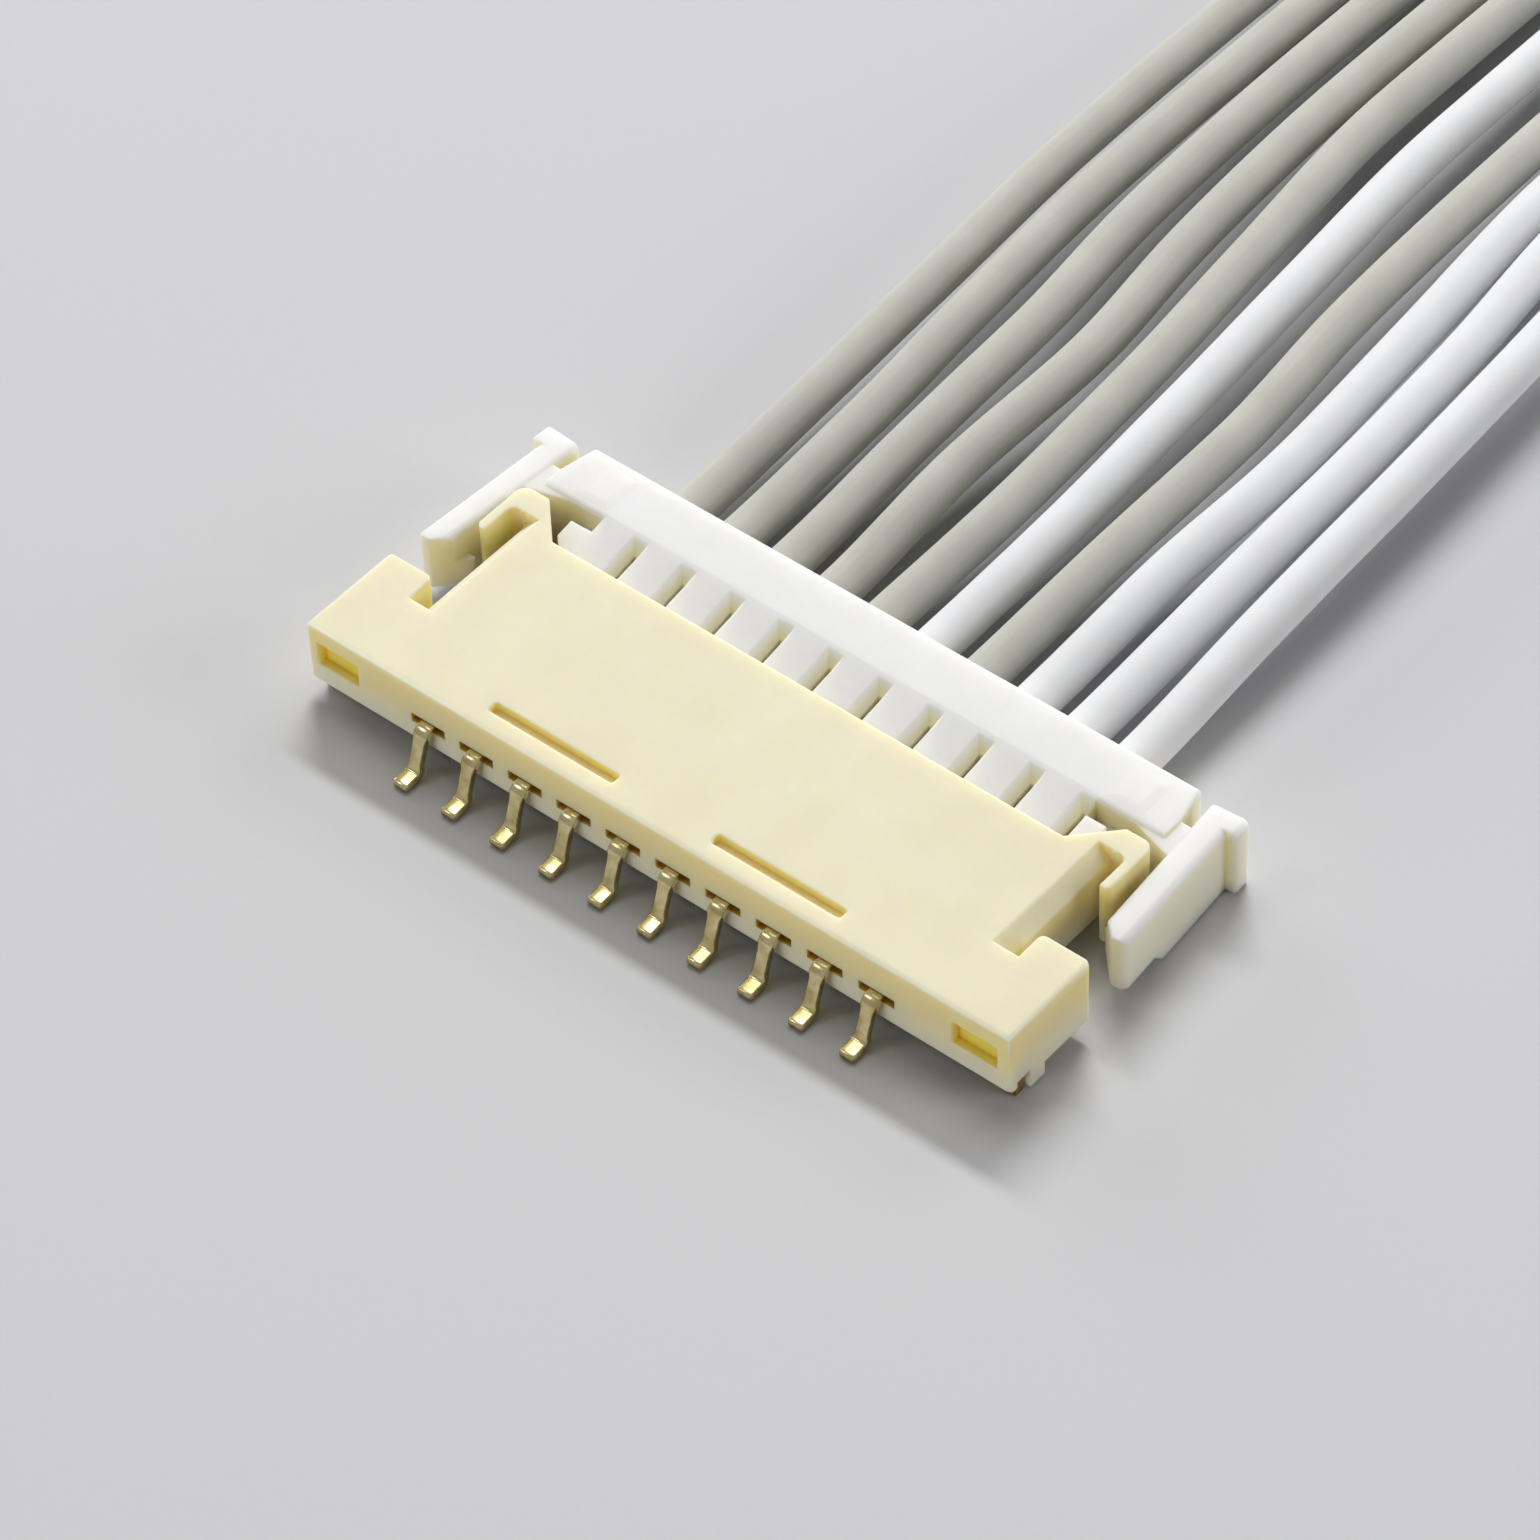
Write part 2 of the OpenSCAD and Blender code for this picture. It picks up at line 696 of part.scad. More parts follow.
// Tongue, the thick root between the header and the bar, and the shoulders whose
// slanted faces follow the header's hooks
module tongue() {
    along_x(-tongue_half, tongue_half) polygon([
        [tongue_front, tongue_bottom + tongue_bevel],
        [tongue_front + tongue_bevel, tongue_bottom],
        [bar_front + lap, tongue_bottom],
        [bar_front + lap, shelf_z],
        [tongue_front + tongue_bevel, shelf_z],
        [tongue_front, shelf_z - tongue_bevel]
    ]);
    block(
        [-tongue_half, root_front, root_bottom],
        [tongue_half, bar_front + lap, tongue_bottom + lap]
    );
    translate([0, 0, tongue_bottom]) linear_extrude(shelf_z - tongue_bottom) both_sides() polygon([
        [tongue_half - lap, root_front],
        [tongue_half, root_front],
        [shoulder_half, shoulder_y],
        [shoulder_half, bar_front + lap],
        [tongue_half - lap, bar_front + lap]
    ]);
}

// Top of the shelf, which rises from behind the header to the bar's top
module shelf_ramp() {
    intersection() {
        along_x(-shoulder_half, shoulder_half) polygon([
            [root_front, shelf_z - lap],
            [ramp_rear, shelf_z - lap],
            [ramp_rear, bar_top],
            [root_front, shelf_z]
        ]);
        linear_extrude(bar_top) both_sides() polygon([
            [-lap, root_front],
            [tongue_half, root_front],
            [shoulder_half, shoulder_y],
            [shoulder_half, hollow_front],
            [hollow_in, hollow_front],
            [hollow_in, ramp_rear],
            [-lap, ramp_rear]
        ]);
    }
}

// Hollow between the right shoulder and the bar
module end_hollow() {
    block(
        [hollow_in, hollow_front, shelf_z - hollow_deep],
        [shoulder_half + lap, bar_front, shelf_z + lap]
    );
}

// Lock arm of the right side, drawn upright and then leaned outwards at its web
module lock_arm() {
    half = arm_t / 2;
    front = nose_y - arm_y;
    rear = tail_y - arm_y;
    step = leg_tip - arm_y;
    translate([arm_x, arm_y, 0]) rotate([0, 0, arm_splay]) {
        intersection() {
            linear_extrude(bar_top) {
                polygon([
                    [-half, front + nose_slant],
                    [0, front],
                    [half - arm_round, front],
                    [half, front + arm_round],
                    [half, rear],
                    [-half, rear]
                ]);
                translate([half - arm_round, front + arm_round]) circle(arm_round);
            }
            along_x(-half, half) polygon([
                [front, bar_lift + nose_lift],
                [step + nose_lift, bar_lift + nose_lift],
                [step + 2 * nose_lift, bar_lift],
                [rear, bar_lift],
                [rear, bar_top],
                [front, bar_top]
            ]);
            along_y(front, rear) round_topped([-half, bar_lift], [half, bar_top], arm_round);
        }
        intersection() {
            along_y(rear - press_l, rear) {
                round_topped([-half, bar_lift], [half + press_pad, bar_top], arm_round);
            }
            linear_extrude(bar_top) {
                rounded_plate([-half, rear - press_l], [half + press_pad, rear], press_round);
            }
        }
    }
    latch();
}

// Latch on the inner side of the right arm, in front of the tip of the hook's leg
module latch() {
    crest_x = leg_out + latch_gap;
    rear = leg_tip - latch_gap;
    translate([0, 0, latch_z]) linear_extrude(latch_h) {
        polygon([
            [arm_x, rear],
            [crest_x, rear],
            [crest_x, rear - latch_crest],
            [crest_x + latch_slant, rear - latch_crest - latch_slant],
            [arm_x, rear - latch_crest - latch_slant]
        ]);
    }
}

// Chamber for one terminal: socket, sloping neck and crimp, then the barrel
module terminal_chamber() {
    half = socket_w / 2 + term_gap;
    block(
        [-half, tongue_front + plug_wall, socket_bottom - term_gap],
        [half, bar_front + lap, chamber_top]
    );
    block(
        [-half, step_y, crimp_bottom - term_gap],
        [half, bar_front + lap, chamber_top]
    );
    block(
        [-barrel_r - term_gap, bar_front + term_gap, wire_z - barrel_r - term_gap],
        [barrel_r + term_gap, bar_rear + lap, max(chamber_top, wire_z + barrel_r + term_gap)]
    );
    pin_room = [fit_gap, 0, fit_gap];
    block(
        [-pin_w / 2, tongue_front - lap, pin_z - lead_t / 2] - pin_room,
        [pin_w / 2, tongue_front + plug_wall + lap, pin_z + lead_t / 2] + pin_room
    );
}

// Window beside a terminal: a floor that follows the ramp and slopes up to the contact's
// side and to the back, the slit in it and the way in for the lance
module lance_window() {
    front = window_front - root_front;
    rear = window_rear - root_front;
    translate([0, root_front, shelf_z]) rotate([ramp_tilt, 0, 0]) intersection() {
        along_y(front, rear) polygon([
            [window_x, 2 * lap],
            [window_x, 0],
            [slit_x, -window_deep],
            [window_far, -window_deep],
            [window_far, 2 * lap]
        ]);
        along_x(window_x, window_far) polygon([
            [front, -window_deep],
            [slit_rear - root_front, -window_deep],
            [rear, 0],
            [rear, 2 * lap],
            [front, 2 * lap]
        ]);
    }
    block(
        [slit_x, window_front, shelf_z - slit_deep],
        [window_far, slit_rear, bar_top]
    );
    block(
        [socket_w / 2, slit_rear - lance_l - 2 * lance_play, lance_z - strip_t - lance_play],
        [slit_x + lap, slit_rear, lance_z + lance_play]
    );
}

module plug_housing() {
    color("#f0efee") difference() {
        union() {
            tongue();
            shelf_ramp();
            bar();
            both_sides() lock_arm();
        }
        for (i = [1:ways]) translate([contact_x(i), 0, 0]) {
            terminal_chamber();
            lance_window();
        }
        both_sides() end_hollow();
    }
}

// Crimp terminals

// The socket round the pin, with a bowed spring on its floor
module socket() {
    half = [socket_w / 2, socket_h / 2];
    wall = [strip_t, strip_t];
    crest = pin_z - lead_t / 2 - spring_gap;
    floor_z = socket_bottom + strip_t;
    along_y(socket_front, socket_rear) translate([0, pin_z]) difference() {
        plate(-half, half);
        plate(wall - half, half - wall);
    }
    along_x(-pin_w / 3, pin_w / 3) polygon([
        [socket_front + socket_l / 6, floor_z - strip_t / 2],
        [socket_front + socket_l / 3, crest],
        [socket_front + socket_l / 2, crest],
        [socket_front + socket_l * 2 / 3, floor_z - strip_t / 2]
    ]);
}

// The strip from the socket to the barrel, stepping down at the crimp
module spine() {
    crimp_rear = bar_front + 2 * term_gap;
    barrel_bottom = wire_z - barrel_r;
    along_x(-socket_w / 2, socket_w / 2) polygon([
        [socket_rear - lap, socket_bottom],
        [step_y + 2 * term_gap, socket_bottom],
        [crimp_front, crimp_bottom],
        [crimp_rear, crimp_bottom],
        [barrel_front - strip_t, barrel_bottom],
        [barrel_front + lap, barrel_bottom],
        [barrel_front + lap, barrel_bottom + strip_t],
        [barrel_front, barrel_bottom + strip_t],
        [crimp_rear + strip_t, crimp_bottom + strip_t],
        [crimp_front + strip_t, crimp_bottom + strip_t],
        [step_y + strip_t, socket_bottom + strip_t],
        [socket_rear - lap, socket_bottom + strip_t]
    ]);
}

// Side walls of the neck, and the lance bent out of the right one
module neck_and_lance() {
    lance_rear = slit_rear - lance_play;
    lance_tip = window_far - lance_play;
    side = socket_w / 2;
    for (x = [-side, side - strip_t]) {
        block([x, socket_rear - lap, socket_bottom], [x + strip_t, lance_rear, lance_z]);
    }
    translate([0, 0, lance_z - strip_t]) linear_extrude(strip_t) polygon([
        [side - strip_t, lance_rear - lance_l],
        [lance_tip, lance_rear - lance_l / 4],
        [lance_tip, lance_rear],
        [side - strip_t, lance_rear]
    ]);
}

// The crimp over the bare strands: two wings rolled in side by side
module strand_crimp() {
    wing = socket_w / 4;
    along_y(crimp_front, bar_front + 2 * term_gap) {
        plate([-socket_w / 2, crimp_bottom], [socket_w / 2, wire_z + crimp_h / 2 - wing]);
        for (x = [-wing, wing]) {
            translate([x, wire_z + crimp_h / 2 - wing]) circle(wing);
        }
    }
}

// The barrel round the insulation, open along its seam
module insulation_barrel() {
    along_y(barrel_front, barrel_front + barrel_l) translate([0, wire_z]) difference() {
        circle(barrel_r);
        circle(barrel_r - strip_t);
        plate([-barrel_seam / 2, 0], [barrel_seam / 2, barrel_r + lap]);
    }
}

module crimp_terminal(i) {
    color("#c9a24a") translate([contact_x(i), 0, 0]) {
        socket();
        spine();
        neck_and_lance();
        strand_crimp();
        insulation_barrel();
    }
}

// Wires

// A tube of eight sides swept through points that run along Y
module swept_tube(points, radius) {
    last = len(points) - 1;
    turn = 360 / wire_sides;
    rings = [for (p = points, k = [0:wire_sides - 1]) p + radius * [cos(k * turn), 0, sin(k * turn)]];
    walls = [
        for (j = [0:last - 1], k = [0:wire_sides - 1]) [
            j * wire_sides + k,
            j * wire_sides + (k + 1) % wire_sides,
            (j + 1) * wire_sides + (k + 1) % wire_sides,
            (j + 1) * wire_sides + k
        ]
    ];
    near_end = [for (k = [0:wire_sides - 1]) wire_sides - 1 - k];
    far_end = [for (k = [0:wire_sides - 1]) last * wire_sides + k];
    polyhedron(rings, concat([near_end], walls, [far_end]));
}

module wire(i) {
    color(wire_colours[i - 1]) swept_tube(wire_points(i), wire_d / 2);
}

// Tinned strands that stand out of a wire's far end, with a bevelled tip
module stripped_end(i) {
    points = wire_points(i);
    bevel = strand_d / 4;
    color("#c8c9cb") translate(points[len(points) - 1]) rotate([-90, 0, 0]) {
        cylinder(d = strand_d, h = strip_l - bevel);
        translate([0, 0, strip_l - bevel]) cylinder(d1 = strand_d, d2 = strand_d - 2 * bevel, h = bevel);
    }
}

translate([0, -centre_y, 0]) {
    header_housing();
    left_hold_down();
    right_hold_down();
    plug_housing();
    for (i = [1:ways]) {
        header_contact(i);
        crimp_terminal(i);
        wire(i);
        stripped_end(i);
    }
}
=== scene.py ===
"""Looks of a ten-way wire-to-board connector: a cream header with a white plug pushed home and ten wires."""

import logging
import math
from dataclasses import dataclass
from enum import Enum
from functools import cache

import bmesh
import bpy
import numpy as np
from bpy.types import Curve, ID, Material, Mesh, Node, NodeOutputs, NodeSocket, NodeTree, Object
from bpy.types import bpy_prop_collection as Items
from mathutils import Matrix, Vector


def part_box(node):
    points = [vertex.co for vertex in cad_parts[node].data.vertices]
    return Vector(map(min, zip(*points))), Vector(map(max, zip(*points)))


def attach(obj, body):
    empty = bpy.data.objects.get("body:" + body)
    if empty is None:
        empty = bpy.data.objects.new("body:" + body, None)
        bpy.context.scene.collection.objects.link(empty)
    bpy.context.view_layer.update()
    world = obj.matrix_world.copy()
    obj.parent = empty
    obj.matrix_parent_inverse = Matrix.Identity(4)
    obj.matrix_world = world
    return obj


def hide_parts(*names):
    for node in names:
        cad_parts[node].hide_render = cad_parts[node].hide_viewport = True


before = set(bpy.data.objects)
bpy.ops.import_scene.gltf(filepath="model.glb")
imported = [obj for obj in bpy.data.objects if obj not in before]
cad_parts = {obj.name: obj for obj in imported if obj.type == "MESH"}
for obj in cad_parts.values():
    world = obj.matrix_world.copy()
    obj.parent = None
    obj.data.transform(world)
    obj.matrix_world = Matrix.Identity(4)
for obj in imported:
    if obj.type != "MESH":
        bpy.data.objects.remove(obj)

logging.basicConfig(level=logging.INFO, format="%(message)s")
log = logging.getLogger("connector")

MM = 0.001
WAYS = 10
PITCH = 1.25
WELD = 0.0005 * MM
HOLLOW_MARK = "hollow"
Colour = Point = tuple[float, float, float]
Span = tuple[float, float]
Feed = NodeSocket | float | Colour


class Body(Enum):
    """The two bodies that the pieces ride on."""

    HEADER = "header"
    PLUG = "plug"


class Jacket(Enum):
    """The two colours of insulation, each with the record's slot that it stands for."""

    GREY = "grey_insulation"
    WHITE = "white_insulation"


def srgb(red: float, green: float, blue: float) -> Colour:
    """Turn a colour of 0 to 255 as a screen shows it into linear light.

    Args:
        red: Red share, 0 to 255.
        green: Green share, 0 to 255.
        blue: Blue share, 0 to 255.

    Returns:
        The same colour as three linear values from 0 to 1.
    """
    values = np.array([red, green, blue]) / 255.0
    linear = np.where(values <= 0.04045, values / 12.92, ((values + 0.055) / 1.055) ** 2.4)
    return tuple(float(v) for v in linear)


@dataclass(frozen=True)
class PlasticFinish:
    """A moulded plastic that lets a little light in, with painted shade and a painted highlight. Lengths are
    in millimetres.

    Args:
        name: Name of the material.
        skin: Colour of the open surface.
        cloud: Colour of the faint clouds in it.
        side: Colour of upright faces, a painted shade that stands in for the light reaching them from inside
            the plastic.
        side_low: Height above the board from which upright faces start to take that colour.
        side_high: Height at which they have it in full.
        rim: Colour of rounded upper edges at the front, a painted highlight.
        deep: Colour painted into corners and shallow slots as shade.
        hollow: Colour painted as shade at the bottom of a marked hollow.
        dark: Colour painted as shade into the narrowest slots.
        slit: Share of that painted shade in narrow places that aren't marked.
        roughness: Roughness of the clear and of the clouded skin.
        glow: Share of the light that scatters under the skin.
        scatter: How far that light travels.
        tint: Share of that distance for red, green and blue light.
        recess_reach: How far a slot's shade reaches.
        recess_gain: How strongly slots take the deep colour's painted shade.
        grain: Size of the mould's grain.
        soften: Radius over which edges are blended in the shading.
    """

    name: str
    skin: Colour
    cloud: Colour
    side: Colour
    side_low: float
    side_high: float
    rim: Colour
    deep: Colour
    hollow: Colour
    dark: Colour
    slit: float
    roughness: Span
    glow: float
    scatter: float
    tint: Colour
    recess_reach: float
    recess_gain: float
    grain: float
    soften: float


@dataclass(frozen=True)
class Hollow:
    """A hollow in a housing, which gets painted shade. Sizes are in millimetres, Y from the header's front
    face.

    Args:
        low: Lowest corner of the box that holds the hollow's faces.
        high: Highest corner of that box.
        rim: A point of the surface that the hollow is sunk into.
        inward: Direction into the hollow, of length 1.
        deep: Depth at which the hollow has its full painted shade.
        share: Share of the hollow's painted shade at that depth, and past 1 the dark colour's painted shade
            too.
        both: Whether the hollow is repeated on the other side of the middle.
    """

    low: Point
    high: Point
    rim: Point
    inward: Point
    deep: float
    share: float
    both: bool = False


@dataclass(frozen=True)
class MetalFinish:
    """A plated or bare strip of metal.

    Args:
        name: Name of the material.
        bright: Colour of the polished places.
        dull: Colour of the rubbed or tarnished places.
        roughness: Roughness of the polished and of the dull places.
        streak: Size of the rolling streaks, in millimetres.
        dent: Height of the streaks in the bump, from 0 to 1.
    """

    name: str
    bright: Colour
    dull: Colour
    roughness: Span
    streak: float
    dent: float


@dataclass(frozen=True)
class JacketFinish:
    """The soft plastic round a wire.

    Args:
        name: Name of the material.
        skin: Colour of the plastic.
        dust: Colour of the rubbed places.
        roughness: Roughness of the clean and of the rubbed places.
    """

    name: str
    skin: Colour
    dust: Colour
    roughness: Span


# In both plastics side, rim, deep, hollow and dark are painted light: shade on upright faces, a highlight on
# front rims, shade in corners, hollows and slots
CREAM = PlasticFinish(
    name="cream_nylon",
    skin=srgb(236, 230, 203),
    cloud=srgb(233, 226, 196),
    side=srgb(236, 222, 164),
    side_low=0.60,
    side_high=1.45,
    rim=srgb(246, 243, 226),
    deep=srgb(246, 236, 190),
    hollow=srgb(255, 224, 92),
    dark=srgb(110, 60, 24),
    slit=0.0,
    roughness=(0.56, 0.66),
    glow=1.0,
    scatter=0.50,
    tint=(1.0, 0.80, 0.40),
    recess_reach=0.50,
    recess_gain=1.2,
    grain=0.12,
    soften=0.05,
)
WHITE = PlasticFinish(
    name="white_nylon",
    skin=srgb(239, 238, 236),
    cloud=srgb(236, 235, 232),
    side=srgb(239, 234, 212),
    side_low=0.0,
    side_high=0.10,
    rim=srgb(241, 241, 239),
    deep=srgb(240, 234, 206),
    hollow=srgb(248, 236, 184),
    dark=srgb(104, 72, 26),
    slit=1.0,
    roughness=(0.51, 0.61),
    glow=1.0,
    scatter=0.60,
    tint=(1.0, 0.95, 0.80),
    recess_reach=0.35,
    recess_gain=1.3,
    grain=0.12,
    soften=0.06,
)
LEAD = MetalFinish("plated_lead", srgb(226, 212, 164), srgb(190, 174, 118), (0.15, 0.29), 0.06, 0.20)
TAB = MetalFinish("tab_metal", srgb(206, 160, 104), srgb(160, 112, 66), (0.34, 0.48), 0.08, 0.35)
TERMINAL = MetalFinish("terminal_bronze", srgb(222, 180, 96), srgb(186, 140, 62), (0.30, 0.44), 0.07, 0.30)
STRANDS = MetalFinish("tinned_strands", srgb(222, 223, 226), srgb(188, 190, 194), (0.28, 0.42), 0.05, 0.40)
JACKETS = {
    Jacket.GREY: JacketFinish("grey_jacket", srgb(194, 194, 186), srgb(186, 186, 178), (0.65, 0.78)),
    Jacket.WHITE: JacketFinish("white_jacket", srgb(231, 232, 234), srgb(226, 227, 229), (0.61, 0.74)),
}

# Soft steps in the shading masks, as where each starts and where it ends
SLOT_STEP, DEPTH_STEP = (0.22, 0.72), (0.88, 0.99)
LEVEL_STEP, TILT_STEP, FLAT_STEP, FRONT_STEP = (0.10, 0.55), (0.25, 0.60), (0.90, 0.985), (0.10, 0.30)
# Bumps, as strength and depth in millimetres, and the depth alone for metals
MOULD_BUMP, JACKET_BUMP, PAPER_BUMP = (0.25, 0.012), (0.2, 0.010), (0.15, 0.02)
STRIP_DEPTH = 0.006
# Octaves of noise, and rays that look for open sky and for edges
WIDE_DETAIL, FINE_DETAIL = 3.0, 4.0
SKY_RAYS, EDGE_RAYS = 6, 3


class Wiring:
    """Adds nodes to one node tree and links them."""

    def __init__(self, tree: NodeTree) -> None:
        """Take the tree that gets the nodes."""
        self.tree = tree

    def feed(self, value: Feed, socket: NodeSocket) -> None:
        """Lead a socket into an input, or set the input to a number or a colour.

        Args:
            value: Socket, number or colour.
            socket: The input.
        """
        if isinstance(value, NodeSocket):
            self.tree.links.new(value, socket)
        else:
            socket.default_value = (*value, 1.0) if isinstance(value, tuple) else value

    def add(self, kind: str, inputs: dict[str, Feed], group: NodeTree | None = None) -> Node:
        """Add a node and feed its inputs.

        Args:
            kind: Kind of node, in Blender's name for it.
            inputs: What each named input gets.
            group: The shared group, where the node stands for one.

        Returns:
            The node.
        """
        node = self.tree.nodes.new(kind)
        if group is not None:
            node.node_tree = group
        for label, value in inputs.items():
            self.feed(value, node.inputs[label])
        return node

    def placed(self, group: NodeTree, inputs: dict[str, Feed]) -> NodeOutputs:
        """Place a shared group, feed its inputs and return its outputs."""
        return self.add("ShaderNodeGroup", inputs, group).outputs

    def noise(self, vector: Feed, scale: Feed, detail: float) -> NodeSocket:
        """Add a noise texture with so many octaves, and return its value, about 0 to 1."""
        inputs = {"Vector": vector, "Scale": scale, "Detail": detail}
        return self.add("ShaderNodeTexNoise", inputs).outputs["Fac"]

    def patches(self, vector: Feed, scale: Feed, share: float, contrast: float) -> NodeSocket:
        """Add noise at a share of a scale, spread about its middle by the contrast and kept from 0 to 1."""
        wide = self.noise(vector, self.maths("MULTIPLY", scale, share), WIDE_DETAIL)
        return self.maths("MULTIPLY_ADD", wide, contrast, (1.0 - contrast) / 2, clamp=True)

    def maths(self, kind: str, *values: Feed, clamp: bool = False) -> NodeSocket:
        """Add a node that works out one value from others.

        Args:
            kind: The operation, in Blender's name for it.
            values: What it works on, in order.
            clamp: Whether the result is kept from 0 to 1.

        Returns:
            The result.
        """
        node = self.tree.nodes.new("ShaderNodeMath")
        node.operation, node.use_clamp = kind, clamp
        for socket, value in zip(node.inputs, values):
            self.feed(value, socket)
        return node.outputs[0]

    def step(self, value: Feed, low: Feed, high: Feed) -> NodeSocket:
        """Add a soft step from 0 to 1.

        Args:
            value: The value.
            low: Where the step starts.
            high: Where it ends.

        Returns:
            The step.
        """
        node = self.add("ShaderNodeMapRange", {"Value": value, "From Min": low, "From Max": high})
        node.interpolation_type = "SMOOTHSTEP"
        return node.outputs["Result"]

    def ramp(self, value: Feed, low: float, high: float) -> NodeSocket:
        """Spread a value of 0 to 1 between two ends, and return the result."""
        inputs = {"Value": value, "To Min": low, "To Max": high}
        return self.add("ShaderNodeMapRange", inputs).outputs["Result"]

    def mix(self, share: Feed, first: Feed, second: Feed) -> NodeSocket:
        """Mix two colours.

        Args:
            share: Share of the second colour.
            first: Socket or colour.
            second: Socket or colour.

        Returns:
            The mixed colour.
        """
        node = self.tree.nodes.new("ShaderNodeMix")
        node.data_type = "RGBA"
        self.feed(share, node.inputs["Factor"])
        for label, value in (("A", first), ("B", second)):
            self.feed(value, next(s for s in node.inputs if s.name == label and s.type == "RGBA"))
        return next(s for s in node.outputs if s.type == "RGBA")


class Group(Wiring):
    """A shared node group with named inputs and outputs."""

    def __init__(self, name: str, inputs: dict[str, float | None], outputs: list[str]) -> None:
        """Start the group with its sockets.

        Args:
            name: Name of the group.
            inputs: Default of each input, and none for a vector.
            outputs: Name of each output, all of them values.
        """
        super().__init__(bpy.data.node_groups.new(name, "ShaderNodeTree"))
        for label, default in inputs.items():
            kind = "NodeSocketVector" if default is None else "NodeSocketFloat"
            socket = self.tree.interface.new_socket(label, in_out="INPUT", socket_type=kind)
            if default is not None:
                socket.default_value = default
        for label in outputs:
            self.tree.interface.new_socket(label, in_out="OUTPUT", socket_type="NodeSocketFloat")
        self.given = self.tree.nodes.new("NodeGroupInput").outputs
        self.end = self.tree.nodes.new("NodeGroupOutput")

    def put_out(self, **results: NodeSocket) -> None:
        """Lead the results to the outputs of their names."""
        for label, value in results.items():
            self.feed(value, self.end.inputs[label])


class Skin(Wiring):
    """A material, with its shader and the coordinates of its piece."""

    def __init__(self, name: str) -> None:
        """Start the material.

        Args:
            name: Name of the material.
        """
        self.material = bpy.data.materials.new(name)
        self.material.use_nodes = True
        super().__init__(self.material.node_tree)
        self.shader = self.tree.nodes["Principled BSDF"]
        self.coords = self.tree.nodes.new("ShaderNodeTexCoord").outputs

    def settle(self, values: dict[str, float | Colour]) -> None:
        """Set values that are the same all over on the shader's own sockets."""
        for label, value in values.items():
            self.shader.inputs[label].default_value = value

    def surface(self, colour: Feed, worn: Feed, roughness: Span) -> None:
        """Give the shader its colour, and a roughness that runs with the worn places."""
        self.feed(colour, self.shader.inputs["Base Color"])
        self.feed(self.ramp(worn, *roughness), self.shader.inputs["Roughness"])

    def bump(self, height: NodeSocket, strength: float, depth: float) -> Node:
        """Lead a height through a bump node into the shader.

        Args:
            height: The height.
            strength: Strength of the bump.
            depth: Depth of the bump, in millimetres.

        Returns:
            The bump node.
        """
        node = self.add("ShaderNodeBump", {"Strength": strength, "Distance": depth * MM, "Height": height})
        self.feed(node.outputs["Normal"], self.shader.inputs["Normal"])
        return node


